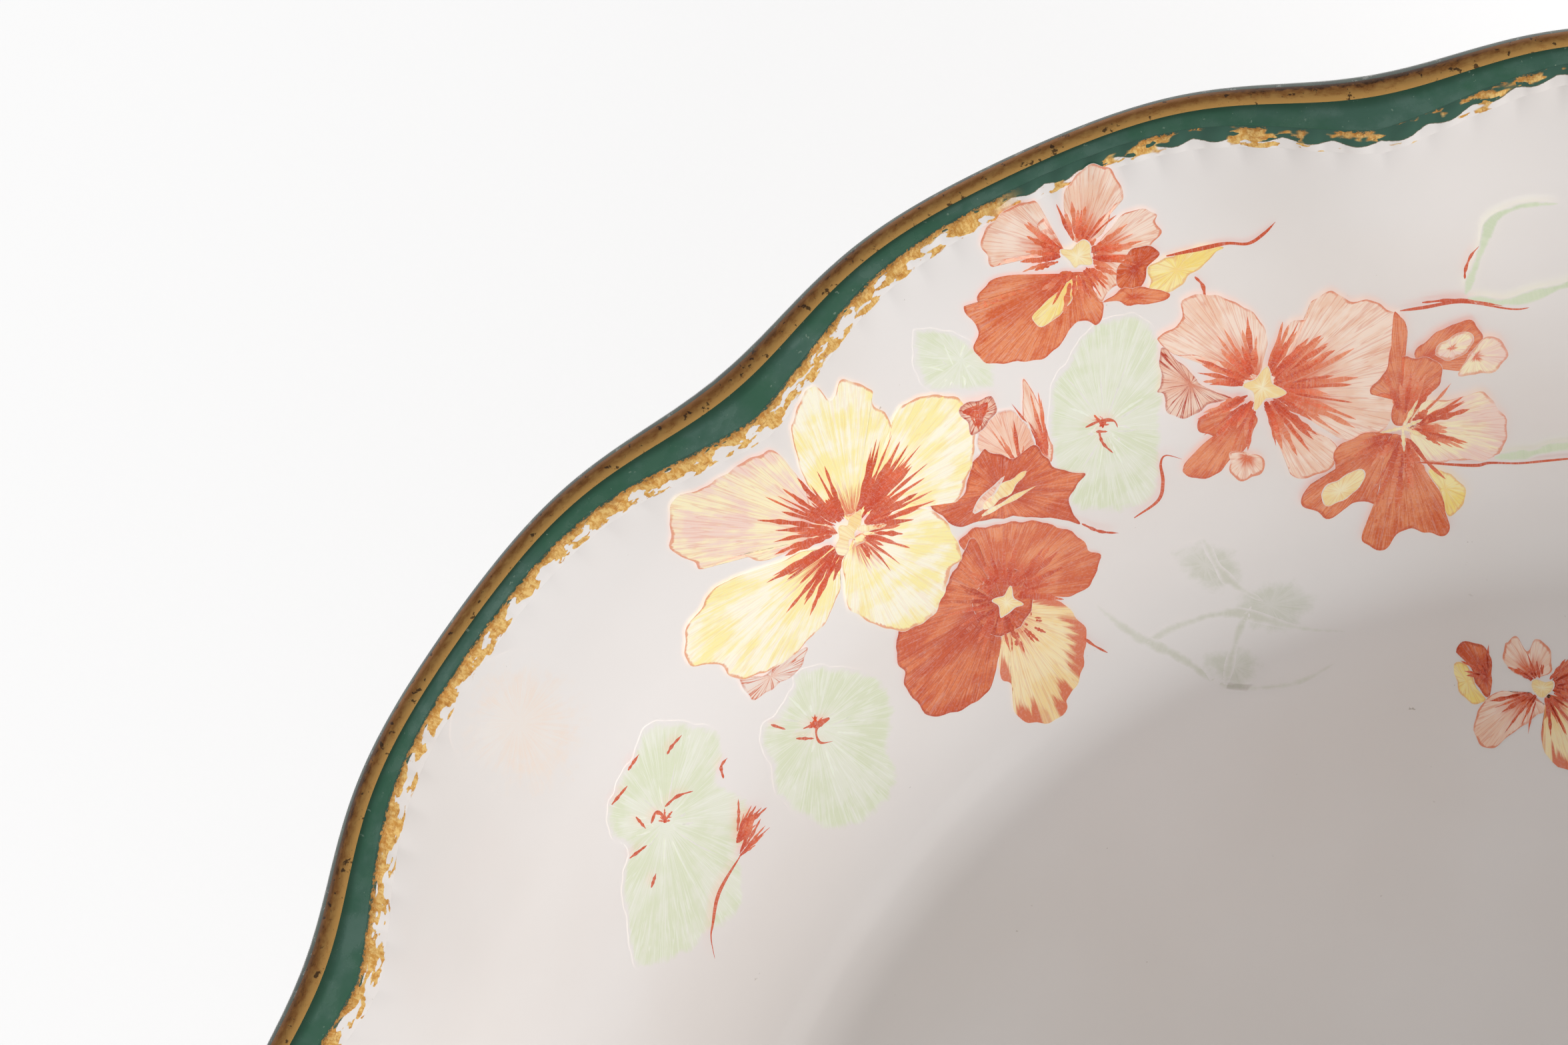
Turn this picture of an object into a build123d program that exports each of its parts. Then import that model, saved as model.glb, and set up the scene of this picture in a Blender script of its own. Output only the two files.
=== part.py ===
"""A round porcelain serving bowl with a scalloped, gilded rim and floral transfers.

All lengths are millimetres.  +Z is up, the bowl's axis is the Z axis, the origin is the
centre of the ring it stands on, and one crest of the scalloped rim points along +X.

The pieces, in the order in which a pottery makes them:
  bowl_body           the moulded wall and floor
  foot_ring           the turned ring that is stuck under the floor before firing
  inner_spray_N       the floral transfers on the inside of the wall
  well_sprig          the small floral transfer on the floor
  outer_spray_N       the floral transfers on the outside of the wall
  green_rim_band      the green enamel inside the rim, narrow at a crest and wide at a notch
  gold_lace_border    the gold border that closes the green band
  gold_rim_line       the gold line on top of the lip
  outer_edge_enamel   the green enamel on the outside of the lip
"""
from build123d import *
from math import cos, pi, radians, sin, sqrt
import os

# ---- overall sizes of the porcelain ---------------------------------------------------
overall_diameter = 244.0
overall_height = 63.0

# ---- the scalloped outline --------------------------------------------------------------
lobe_count = 12
notch_depth = 3.1
notch_sharpness = 2.5
outer_notch_share = 0.78
lobe_fade_start = 0.4

# ---- the section of the wall --------------------------------------------------------------
floor_thickness = 3.8
rim_thickness = 2.8
floor_handle = 16.0
rim_handle = 29.0
flare_angle = 35.0

# ---- the foot ring ------------------------------------------------------------------------
foot_height = 4.5
foot_diameter = 132.0
foot_top_width = 7.0
foot_bottom_width = 3.4
foot_edge_rounding = 1.0
floor_ledge = 3.0

# ---- the decoration -------------------------------------------------------------------------
# A place near the rim is its distance, along the section, inwards from the lip's inner
# edge.  It is below zero on the rounded lip, and on the outside of the wall beyond that.
coat_thickness = 0.2
gold_line_middle = -1.35
gold_line_width = 1.15
green_edge_at_crest = 0.5
green_edge_at_notch = 2.7
lace_width_at_crest = 1.0
lace_width_at_notch = 1.3
enamel_drop = 2.0

# A transfer is a long patch: its places on the wall are shares of the way from the
# floor's edge to the lip, and its angles are degrees.
spray_count = 3
inner_spray_middle_angle = 129.0
inner_spray_half_angle = 27.0
inner_spray_low = 0.17
inner_spray_high = 0.85
outer_spray_middle_angle = 119.0
outer_spray_half_angle = 15.0
outer_spray_low = 0.22
outer_spray_high = 0.62
well_sprig_middle_angle = 84.0
well_sprig_half_angle = 26.0
well_sprig_inner_radius = 42.0
well_sprig_outer_gap = 2.5

# ---- how finely the wall is described -------------------------------------------------------
points_per_lobe = 12
wall_stations = 14
lip_stations = 5
coat_steps_across = 3
transfer_steps_across = 8
transfer_steps_along = 24

# ---- sizes that follow from the ones above --------------------------------------------------
bowl_radius = overall_diameter / 2
floor_radius = foot_diameter / 2 + foot_top_width / 2 + floor_ledge
lip_radius = rim_thickness / 2
lip_centre_radius = bowl_radius - lip_radius
lip_centre_height = overall_height - lip_radius
floor_middle_height = foot_height + floor_thickness / 2
lip_length = pi * lip_radius
wall_speed_at_lip = 3 * rim_handle


def notch(angle):
    """How deep in a notch an angle is: 0 on a crest, 1 in the middle of a notch."""
    return ((1 - cos(lobe_count * angle)) / 2) ** notch_sharpness


def scalloped_wire(radius, height, share):
    """A closed curve round the axis, with a share of the rim's notches."""
    count = lobe_count * points_per_lobe
    points = []
    for step in range(count):
        angle = 2 * pi * step / count
        reach = radius - share * notch_depth * notch(angle)
        points.append(Vector(reach * cos(angle), reach * sin(angle), height))
    knots = [step / count for step in range(count + 1)]
    return Wire([Edge.make_spline(points, periodic=True, parameters=knots)])


def wall_middle(along):
    """The middle of the wall's section: radius, height and the wall's direction.

    The curve is a cubic Bezier, level at the floor's edge and flared at the lip.
    """
    flare = radians(flare_angle)
    start = Vector(floor_radius, floor_middle_height)
    end = Vector(lip_centre_radius, lip_centre_height)
    first = start + Vector(floor_handle, 0)
    second = end - Vector(cos(flare), sin(flare)) * rim_handle
    back = 1 - along
    place = (
        start * back**3
        + first * (3 * along * back**2)
        + second * (3 * along**2 * back)
        + end * along**3
    )
    direction = (
        (first - start) * back**2
        + (second - first) * (2 * along * back)
        + (end - second) * along**2
    )
    return place, direction.normalized()


def lobe_share(along):
    """The share of the notches at a place on the wall: none low down, all at the lip."""
    rise = max(0.0, (along - lobe_fade_start) / (1 - lobe_fade_start))
    return rise**1.5


def wall_face(along, side, grow):
    """A station on the wall's face: side is +1 inside and -1 outside."""
    place, direction = wall_middle(along)
    thickness = floor_thickness + (rim_thickness - floor_thickness) * along
    away = Vector(-direction.Y, direction.X) * (side * (thickness / 2 + grow))
    share = lobe_share(along) * (1 if side > 0 else outer_notch_share)
    return place.X + away.X, place.Y + away.Y, share


def lip_face(turn, grow):
    """A station on the rounded lip: turn is 0 at its inner face and 1 at its outer face."""
    angle = radians(flare_angle) + pi / 2 - pi * turn
    radius = lip_radius + grow
    share = 1 - (1 - outer_notch_share) * turn
    reach = lip_centre_radius + radius * cos(angle)
    return reach, lip_centre_height + radius * sin(angle), share


def bowl_stations():
    """The whole section, from the floor over the lip to the underside."""
    floor_top = floor_middle_height + floor_thickness / 2
    floor_bottom = floor_middle_height - floor_thickness / 2
    stations = [(floor_radius - floor_ledge, floor_top, 0)]
    for step in range(wall_stations):
        stations.append(wall_face(step / wall_stations, 1, 0))
    for step in range(lip_stations + 1):
        stations.append(lip_face(step / lip_stations, 0))
    for step in range(wall_stations - 1, -1, -1):
        stations.append(wall_face(step / wall_stations, -1, 0))
    stations.append((floor_radius - floor_ledge, floor_bottom, 0))
    return stations


def bowl_solid():
    """The bowl's body: one skin lofted over the whole section, closed by the flat floor."""
    return Solid.make_loft([scalloped_wire(*station) for station in bowl_stations()])


def rim_face(distance, grow):
    """A station near the rim, at a distance along the section from the lip's inner edge."""
    if distance >= 0:
        return wall_face(1 - distance / wall_speed_at_lip, 1, grow)
    if distance >= -lip_length:
        return lip_face(-distance / lip_length, grow)
    return wall_face(1 + (distance + lip_length) / wall_speed_at_lip, -1, grow)


def face_point(station, angle):
    """A station's point at an angle round the bowl."""
    radius, height, share = station
    reach = radius - share * notch_depth * notch(angle)
    return Vector(reach * cos(angle), reach * sin(angle), height)


def rim_wire(at_crest, at_notch, grow):
    """A closed curve along the rim whose distance from the lip differs at the notches."""
    count = lobe_count * points_per_lobe
    points = []
    for step in range(count):
        angle = 2 * pi * step / count
        distance = at_crest + (at_notch - at_crest) * notch(angle)
        points.append(face_point(rim_face(distance, grow), angle))
    knots = [step / count for step in range(count + 1)]
    return Wire([Edge.make_spline(points, periodic=True, parameters=knots)])


def rim_coat(outer, inner):
    """A coat round the rim between two edges, each given at a crest and at a notch."""
    wires = []
    for grow, steps in ((0, range(coat_steps_across + 1)), (coat_thickness, None)):
        for step in steps or range(coat_steps_across, -1, -1):
            share = step / coat_steps_across
            at_crest = outer[0] + (inner[0] - outer[0]) * share
            at_notch = outer[1] + (inner[1] - outer[1]) * share
            wires.append(rim_wire(at_crest, at_notch, grow))
    return Solid.make_loft(wires + [wires[0]], ruled=True)


def transfer(station, middle_angle, half_angle, low, high):
    """A long thin patch with rounded ends, lofted from upright sections.

    station gives the section's point at a place between low and high, with a coat.
    """
    sections = []
    for step in range(transfer_steps_along + 1):
        side = 2 * step / transfer_steps_along - 1
        angle = radians(middle_angle + side * half_angle)
        fullness = sqrt(1 - (0.97 * side) ** 2)
        middle = (low + high) / 2
        half = (high - low) / 2 * fullness
        places = [
            middle + half * (2 * across / transfer_steps_across - 1)
            for across in range(transfer_steps_across + 1)
        ]
        under = [face_point(station(place, 0), angle) for place in places]
        over = [face_point(station(place, coat_thickness), angle) for place in places]
        sections.append(
            Wire(
                [
                    Edge.make_spline(under),
                    Edge.make_line(under[-1], over[-1]),
                    Edge.make_spline(over[::-1]),
                    Edge.make_line(over[0], under[0]),
                ]
            )
        )
    return Solid.make_loft(sections, ruled=True)


def inner_station(place, grow):
    """A station on the inside of the wall."""
    return wall_face(place, 1, grow)


def outer_station(place, grow):
    """A station on the outside of the wall."""
    return wall_face(place, -1, grow)


def floor_station(radius, grow):
    """A station on the level floor."""
    return radius, floor_middle_height + floor_thickness / 2 + grow, 0


def foot_ring():
    """The turned ring: straight flanks that narrow downwards, with rounded edges."""
    middle = foot_diameter / 2
    top = foot_top_width / 2
    bottom = foot_bottom_width / 2
    corners = [
        (middle - top, foot_height),
        (middle - bottom, 0),
        (middle + bottom, 0),
        (middle + top, foot_height),
    ]
    with BuildPart() as ring:
        with BuildSketch(Plane.XZ) as section:
            Polygon(*corners, align=None)
            low = section.vertices().sort_by(Axis.Y)[:2]
            fillet(low, foot_edge_rounding)
        revolve(axis=Axis.Z)
    return ring.part


def write(shape, name):
    """Write one named piece."""
    shape.label = name
    export_step(shape, f"parts/{name}.step")
    print(name, round(shape.volume, 1))


os.makedirs("parts", exist_ok=True)

write(bowl_solid(), "bowl_body")
write(foot_ring(), "foot_ring")

line_outer = (gold_line_middle - gold_line_width / 2,) * 2
line_inner = (gold_line_middle + gold_line_width / 2,) * 2
green_inner = (green_edge_at_crest, green_edge_at_notch)
lace_inner = (
    green_edge_at_crest + lace_width_at_crest,
    green_edge_at_notch + lace_width_at_notch,
)
enamel_outer = (-lip_length - enamel_drop,) * 2
write(rim_coat(enamel_outer, line_outer), "outer_edge_enamel")
write(rim_coat(line_outer, line_inner), "gold_rim_line")
write(rim_coat(line_inner, green_inner), "green_rim_band")
write(rim_coat(green_inner, lace_inner), "gold_lace_border")

for number in range(spray_count):
    turn = number * 360 / spray_count
    inner = transfer(
        inner_station,
        inner_spray_middle_angle + turn,
        inner_spray_half_angle,
        inner_spray_low,
        inner_spray_high,
    )
    write(inner, f"inner_spray_{number + 1}")
    outer = transfer(
        outer_station,
        outer_spray_middle_angle + turn,
        outer_spray_half_angle,
        outer_spray_low,
        outer_spray_high,
    )
    write(outer, f"outer_spray_{number + 1}")

sprig = transfer(
    floor_station,
    well_sprig_middle_angle,
    well_sprig_half_angle,
    well_sprig_inner_radius,
    floor_radius - floor_ledge - well_sprig_outer_gap,
)
write(sprig, "well_sprig")
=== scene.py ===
# %% [markdown]
# # A gilded porcelain serving bowl
# This lesson dresses a plain CAD bowl: glazed porcelain with a soft ripple under the rim, a
# green enamel band closed by brushed gold, and printed sprays of flowers.
# Lengths below are millimetres until a mesh is made.

# %% Load the fixed frame
import math
import bpy
import numpy as np
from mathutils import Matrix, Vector


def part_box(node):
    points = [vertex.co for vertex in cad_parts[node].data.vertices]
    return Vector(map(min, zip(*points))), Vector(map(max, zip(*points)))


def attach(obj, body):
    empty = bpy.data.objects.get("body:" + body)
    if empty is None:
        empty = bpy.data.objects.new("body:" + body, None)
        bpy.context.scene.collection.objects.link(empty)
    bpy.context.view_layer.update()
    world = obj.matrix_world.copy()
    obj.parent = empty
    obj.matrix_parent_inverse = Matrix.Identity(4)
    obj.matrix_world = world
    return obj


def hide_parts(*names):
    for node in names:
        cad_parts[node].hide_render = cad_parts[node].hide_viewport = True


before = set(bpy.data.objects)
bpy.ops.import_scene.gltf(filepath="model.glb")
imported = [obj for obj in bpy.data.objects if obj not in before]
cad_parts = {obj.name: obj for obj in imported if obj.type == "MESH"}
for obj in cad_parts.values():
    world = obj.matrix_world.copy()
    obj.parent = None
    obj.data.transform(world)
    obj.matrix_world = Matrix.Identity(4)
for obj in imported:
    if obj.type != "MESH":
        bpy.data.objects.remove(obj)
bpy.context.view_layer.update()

MM = 0.001
SEED = 12
body_low, body_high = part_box("bowl_body")
foot_low, foot_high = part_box("foot_ring")
print("nodes in the frame:", sorted(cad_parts))

# %% [markdown]
# ## The section of the wall
# A bowl is pressed over a mould, so one section curve turned round the axis describes it,
# and the twelve lobes only push that curve in and out near the rim.  The same formulas as
# the CAD part's give a surface on which the body, the bands and the flowers all sit.

# %% Section sizes and the wall's formula
BOWL_RADIUS = body_high[0] / MM
BOWL_HEIGHT = body_high[2] / MM
FOOT_HEIGHT = body_low[2] / MM
LOBES = 12
NOTCH_DEPTH = 3.1
NOTCH_SHARPNESS = 2.5
OUTER_NOTCH_SHARE = 0.78
LOBE_FADE_START = 0.4
FLOOR_THICKNESS = 3.8
RIM_THICKNESS = 2.8
FLOOR_HANDLE = 16.0
RIM_HANDLE = 29.0
FLARE = math.radians(35.0)
FLOOR_RADIUS = foot_high[0] / MM + 3.0
LIP_RADIUS = RIM_THICKNESS / 2
LIP_LENGTH = math.pi * LIP_RADIUS
LIP_CENTRE = np.array([BOWL_RADIUS - LIP_RADIUS, BOWL_HEIGHT - LIP_RADIUS])
FLOOR_TOP = FOOT_HEIGHT + FLOOR_THICKNESS
WALL_SPEED = 3 * RIM_HANDLE


def notch(angle):
    """0 on a crest of the rim and 1 in the middle of a notch."""
    return ((1 - np.cos(LOBES * angle)) / 2) ** NOTCH_SHARPNESS


def wall_station(along, side, lift):
    """Radius, height and share of the notches on the wall's inner (+1) or outer (-1) face."""
    along = np.asarray(along, float)
    start = np.array([FLOOR_RADIUS, FOOT_HEIGHT + FLOOR_THICKNESS / 2])
    first = start + [FLOOR_HANDLE, 0]
    second = LIP_CENTRE - RIM_HANDLE * np.array([math.cos(FLARE), math.sin(FLARE)])
    t = along[..., None]
    place = (start * (1 - t) ** 3 + first * 3 * t * (1 - t) ** 2
             + second * 3 * t ** 2 * (1 - t) + LIP_CENTRE * t ** 3)
    way = (first - start) * (1 - t) ** 2 + (second - first) * 2 * t * (1 - t)
    way = way + (LIP_CENTRE - second) * t ** 2
    way = way / np.linalg.norm(way, axis=-1, keepdims=True)
    thickness = FLOOR_THICKNESS + (RIM_THICKNESS - FLOOR_THICKNESS) * along
    out = side * (thickness / 2 + lift)
    share = np.clip((along - LOBE_FADE_START) / (1 - LOBE_FADE_START), 0, None) ** 1.5
    share = share * (1 if side > 0 else OUTER_NOTCH_SHARE)
    return place[..., 0] - way[..., 1] * out, place[..., 1] + way[..., 0] * out, share


def rim_station(distance, lift):
    """A station by its distance inwards from the lip's inner edge, along the section."""
    distance = np.asarray(distance, float)
    turn = np.clip(-distance / LIP_LENGTH, 0, 1)
    slope = FLARE + math.pi / 2 - math.pi * turn
    lip = (LIP_CENTRE[0] + (LIP_RADIUS + lift) * np.cos(slope),
           LIP_CENTRE[1] + (LIP_RADIUS + lift) * np.sin(slope),
           1 - (1 - OUTER_NOTCH_SHARE) * turn)
    inner = wall_station(1 - np.clip(distance, 0, None) / WALL_SPEED, 1, lift)
    outer = wall_station(1 + np.clip(distance + LIP_LENGTH, None, 0) / WALL_SPEED, -1, lift)
    return [np.where(distance > 0, inner[i], np.where(distance < -LIP_LENGTH, outer[i], lip[i]))
            for i in range(3)]


def turned(station, angle):
    """Points in space for a station at an angle round the bowl."""
    radius, height, share = station
    reach = radius - share * NOTCH_DEPTH * notch(angle)
    return np.stack([reach * np.cos(angle), reach * np.sin(angle), height + 0 * reach], -1)


print("bowl radius and height:", round(BOWL_RADIUS, 2), round(BOWL_HEIGHT, 2))

# %% [markdown]
# ## The moulded ripple
# Under the band the mould leaves a row of shallow gadroons, wider at each notch, which die
# away down the wall.  They could be a displacement texture, but a formula that moves the
# points by a few tenths of a millimetre can be shared: the body takes four fifths of it and
# every coat that lies there takes the whole, so nothing pokes through.  The painted bands'
# edges come with it, because the gadroons start at the innermost one.

# %% The edges of the bands, and the ripple
# An edge is a pair: its distance from the lip's inner edge at a crest and at a notch.
ENAMEL_OUTER = (-LIP_LENGTH - 2.0, -LIP_LENGTH - 2.0)
LINE_OUTER = (-2.3, -2.3)
LINE_INNER = (-0.78, -0.78)
GREEN_INNER = (0.5, 2.7)
LACE_INNER = (1.5, 4.1)
TEETH_INNER = (LACE_INNER[0] + 1.1, LACE_INNER[1] + 1.5)
RIPPLES_PER_LOBE = 17
RIPPLE_HEIGHT = 0.65
RIPPLE_LENGTH = 6.0
BODY_RIPPLE = 0.8
BAND_RIPPLE = 1.05


def cusp(angle):
    """Like notch, but pointed: the inner edge of the bands comes to a point."""
    return (1 - np.abs(np.cos(LOBES * angle / 2))) ** 1.35


def band_edge(pair, angle):
    """The place of a band's edge, given at a crest and at a notch."""
    return pair[0] + (pair[1] - pair[0]) * cusp(angle)


def gadroon(angle):
    """The gadroons round the rim as a wave, bunched towards the crests of the lobes."""
    phase = RIPPLES_PER_LOBE * LOBES * angle + 2.6 * np.sin(LOBES * angle)
    return np.abs(np.cos(phase / 2)) - 0.6


def ripple(distance, angle):
    """How far the mould's gadroons raise the inner face."""
    below = distance - band_edge(LACE_INNER, angle) + 1.2
    fade = np.clip(below / 0.8, 0, 1) * np.clip(1 - below / RIPPLE_LENGTH, 0, 1) ** 1.5
    return RIPPLE_HEIGHT * fade * gadroon(angle)


print("gadroons round the rim:", RIPPLES_PER_LOBE * LOBES)

# %% [markdown]
# ## Meshes from rows of points
# Body and bands are sheets that close round the axis, so one helper turns rows of points
# into quads.  Numbers that the finishes need are stored on the points as attributes.

# %% Mesh helpers


def new_piece(name, points, faces, material, attributes=()):
    """A smooth mesh object from points in millimetres, riding on the bowl."""
    mesh = bpy.data.meshes.new(name)
    mesh.from_pydata((np.asarray(points) * MM).tolist(), [], faces)
    mesh.shade_smooth()
    for label, kind, values in attributes:
        layer = mesh.attributes.new(label, kind, "POINT")
        field = {"FLOAT": "value", "FLOAT_COLOR": "color", "FLOAT_VECTOR": "vector"}[kind]
        layer.data.foreach_set(field, np.ascontiguousarray(values, np.float32).ravel())
    piece = bpy.data.objects.new(name, mesh)
    bpy.context.collection.objects.link(piece)
    mesh.materials.append(material)
    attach(piece, "root")
    return piece


def ring_faces(rows, columns):
    """Quads between closed rows of points."""
    row = np.arange(rows - 1)[:, None] * columns
    here = np.arange(columns)[None, :]
    after = (here + 1) % columns
    quads = np.stack([row + here, row + after, row + columns + after, row + columns + here], -1)
    return quads.reshape(-1, 4).tolist()


print("two rows of four points make", len(ring_faces(2, 4)), "quads")

# %% [markdown]
# ## Porcelain
# Old hard-paste porcelain is a warm greyish white under a thin clear glaze.  The colour
# drifts a little over the piece, fine specks of iron show here and there, and the glaze has
# a very slight orange peel.  Noise textures in object space give all of it.

# %% Node helpers


def srgb(red, green, blue):
    """A colour given as a painter's 0-255 swatch, as linear light."""
    swatch = np.array([red, green, blue]) / 255
    return tuple(np.where(swatch <= 0.04045, swatch / 12.92, ((swatch + 0.055) / 1.055) ** 2.4))


class Shader:
    """A material's node tree with short names for the nodes used here."""

    def __init__(self, name, roughness, metallic=0.0):
        self.material = bpy.data.materials.new(name)
        self.material.use_nodes = True
        self.tree = self.material.node_tree
        self.surface = self.tree.nodes["Principled BSDF"]
        self.surface.inputs["Roughness"].default_value = roughness
        self.surface.inputs["Metallic"].default_value = metallic

    def node(self, kind, **values):
        made = self.tree.nodes.new(kind)
        for key, value in values.items():
            setattr(made, key, value)
        return made

    def plug(self, value, socket):
        if isinstance(value, bpy.types.NodeSocket):
            self.tree.links.new(value, socket)
        elif socket.type == "RGBA":
            socket.default_value = (*value, 1.0)
        else:
            socket.default_value = value

    def place(self):
        return self.node("ShaderNodeTexCoord").outputs["Object"]

    def attribute(self, name, output="Color"):
        return self.node("ShaderNodeAttribute", attribute_name=name).outputs[output]

    def noise(self, where, scale, detail=2.0, rough=0.5, distortion=0.0):
        made = self.node("ShaderNodeTexNoise")
        self.plug(where, made.inputs["Vector"])
        made.inputs["Scale"].default_value = scale
        made.inputs["Detail"].default_value = detail
        made.inputs["Roughness"].default_value = rough
        made.inputs["Distortion"].default_value = distortion
        return made.outputs["Fac"]

    def cloud(self, scale, detail=2.0, rough=0.5):
        """Noise in the bowl's own space."""
        return self.noise(self.place(), scale, detail, rough)

    def split(self, vector):
        made = self.node("ShaderNodeSeparateXYZ")
        self.plug(vector, made.inputs[0])
        return made.outputs

    def stretch(self, where, scale):
        made = self.node("ShaderNodeVectorMath", operation="MULTIPLY")
        self.plug(where, made.inputs[0])
        made.inputs[1].default_value = scale
        return made.outputs[0]

    def ramp(self, value, low, high, start=0.0, end=1.0):
        made = self.node("ShaderNodeMapRange", interpolation_type="SMOOTHSTEP")
        for socket, number in zip(made.inputs, (value, low, high, start, end)):
            self.plug(number, socket)
        return made.outputs["Result"]

    def math(self, operation, first, second=0.0):
        made = self.node("ShaderNodeMath", operation=operation)
        self.plug(first, made.inputs[0])
        self.plug(second, made.inputs[1])
        return made.outputs[0]

    def times(self, first, second):
        return self.math("MULTIPLY", first, second)

    def plus(self, first, second):
        return self.math("ADD", first, second)

    def minus(self, first, second):
        return self.math("SUBTRACT", first, second)

    def mix(self, share, first, second):
        made = self.node("ShaderNodeMix", data_type="RGBA")
        self.plug(share, made.inputs["Factor"])
        self.plug(first, made.inputs["A"])
        self.plug(second, made.inputs["B"])
        return made.outputs["Result"]

    def bump(self, height, strength, distance):
        made = self.node("ShaderNodeBump")
        made.inputs["Strength"].default_value = strength
        made.inputs["Distance"].default_value = distance
        self.plug(height, made.inputs["Height"])
        self.plug(made.outputs["Normal"], self.surface.inputs["Normal"])

    def finish(self, colour, roughness=None):
        self.plug(colour, self.surface.inputs["Base Color"])
        if roughness is not None:
            self.plug(roughness, self.surface.inputs["Roughness"])
        return self.material


# %% Porcelain finish
IVORY = srgb(234, 229, 226)
IVORY_DEEP = srgb(228, 221, 216)
SPECK = srgb(150, 135, 118)


def porcelain_colour(s):
    """The drifting ivory of the body, shared by every finish that lets it show."""
    drift = s.cloud(22.0, 3.0)
    base = s.mix(s.ramp(drift, 0.35, 0.68), IVORY, IVORY_DEEP)
    grain = s.ramp(s.cloud(1500.0, 2.0), 0.74, 0.79)
    sparse = s.ramp(s.cloud(90.0, 1.0), 0.58, 0.66)
    return s.mix(s.times(s.times(grain, sparse), 0.55), base, SPECK)


def porcelain():
    """The body's finish: the ivory under a coat of clear glaze."""
    s = Shader("glazed_porcelain", 0.12)
    s.bump(s.cloud(170.0, 2.0), 0.12, 0.0002)
    rough = s.ramp(s.cloud(60.0, 4.0), 0.3, 0.7, 0.09, 0.17)
    s.surface.inputs["Coat Weight"].default_value = 0.3
    s.surface.inputs["Coat Roughness"].default_value = 0.04
    return s.finish(porcelain_colour(s), rough)


PORCELAIN = porcelain()
print("made", PORCELAIN.name)

# %% [markdown]
# ## The body
# The body could be a curve turned by a Screw modifier, but the lobes and ripples need their
# own points, so rows of stations run from the middle of the floor, over the lip and back
# under the floor.  The rim has finer ripples than the rest, so it is a closer-woven sheet
# between an inside and an outside one.

# %% Body meshes
RIM_ZONE = 0.86
OUTSIDE_START = 0.97
RIM_COLUMNS = 2160
WALL_COLUMNS = 900
BEYOND_RIPPLES = 900.0


def floor_rows(radii, height):
    """Level rows; a row is its radius, height, share of the notches and place below the lip."""
    return [(radius, height, 0.0, BEYOND_RIPPLES) for radius in radii]


def wall_rows(along, side):
    """Rows on the wall's inner (+1) or outer (-1) face."""
    distance = (1 - along) * WALL_SPEED if side > 0 else BEYOND_RIPPLES + 0 * along
    return [(*wall_station(a, side, 0), far) for a, far in zip(along, distance)]


def make_body(name, rows, columns, middle_row=None):
    """One sheet of the body through stations, closed at the axis beside its middle row."""
    angle = np.linspace(0, 2 * math.pi, columns, endpoint=False)
    sheets = []
    for radius, height, share, distance in rows:
        raised = ripple(distance, angle)
        sheets.append(turned((radius, height + raised * BODY_RIPPLE, share), angle))
    faces = ring_faces(len(rows), columns)
    if middle_row is not None:
        centre = len(rows) * columns
        first = middle_row * columns
        cap = [(first + i, first + (i + 1) % columns, centre) for i in range(columns)]
        faces += cap if middle_row > 0 else [face[::-1] for face in cap]
        sheets.append(np.array([[0.0, 0.0, rows[middle_row][1]]]))
    piece = new_piece(name, np.concatenate(sheets), faces, PORCELAIN)
    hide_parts("bowl_body")
    print(name, len(piece.data.polygons), "quads")


lip_rows = [(*rim_station(-turn * LIP_LENGTH, 0), -1.0) for turn in np.linspace(0, 1, 14)[1:-1]]
rim_rows = wall_rows(np.linspace(RIM_ZONE, 1, 30), 1) + lip_rows
rim_rows += wall_rows(np.array([1.0, OUTSIDE_START]), -1)
inside_rows = floor_rows(np.linspace(0.5, FLOOR_RADIUS, 12)[:-1], FLOOR_TOP)
inside_rows += wall_rows(np.linspace(0, RIM_ZONE, 44), 1)
outside_rows = wall_rows(np.linspace(OUTSIDE_START, 0, 40), -1)
outside_rows += floor_rows(np.linspace(FLOOR_RADIUS, 0.5, 10)[1:], FOOT_HEIGHT)
make_body("glazed_rim", rim_rows, RIM_COLUMNS)
make_body("glazed_inside", inside_rows, WALL_COLUMNS, 0)
make_body("glazed_outside", outside_rows, WALL_COLUMNS, len(outside_rows) - 1)

# %% [markdown]
# ## The foot
# The foot ring's CAD shape is right, so it stays and only gets a finish: the same glaze on
# its flanks, and a bare, slightly grey and gritty edge where the glaze is wiped off so that
# the bowl doesn't stick to the kiln shelf.

# %% Foot finish
BARE_EDGE_HEIGHT = 0.0009


def foot_finish():
    """Glaze on the flanks and bare clay below a wavering level."""
    s = Shader("wiped_foot", 0.15)
    wobble = s.times(s.cloud(120.0, 3.0), 0.0008)
    level = s.minus(s.split(s.place())["Z"], wobble)
    bare = s.ramp(level, BARE_EDGE_HEIGHT * 0.4, BARE_EDGE_HEIGHT, 1.0, 0.0)
    grit = s.mix(s.ramp(s.cloud(900.0, 3.0), 0.5, 0.7), srgb(214, 206, 194),
                 srgb(160, 148, 132))
    s.bump(s.cloud(1400.0, 2.0), 0.15, 0.0001)
    return s.finish(s.mix(bare, porcelain_colour(s), grit), s.ramp(bare, 0.0, 1.0, 0.13, 0.6))


for slot in bpy.data.objects["foot_ring"].material_slots:
    slot.material = foot_finish()
print("finished the foot ring")

# %% [markdown]
# ## Green enamel and gold
# The decorator paints the green with a flat brush, then lines the lip with gold and dabs a
# ragged gold border over the green's inner edge.  Handling has worn the border's gold to brown
# along its edges and lifted it in patches; the brown along the gold line's outer side is
# painted shade and reflection of the lip's curve.  Each coat is a sheet a few hundredths of a
# millimetre above the body; where the gold has gone, its finish shows the porcelain again.

# %% Green enamel
GREEN = srgb(58, 92, 78)
GREEN_DARK = srgb(34, 72, 52)


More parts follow.
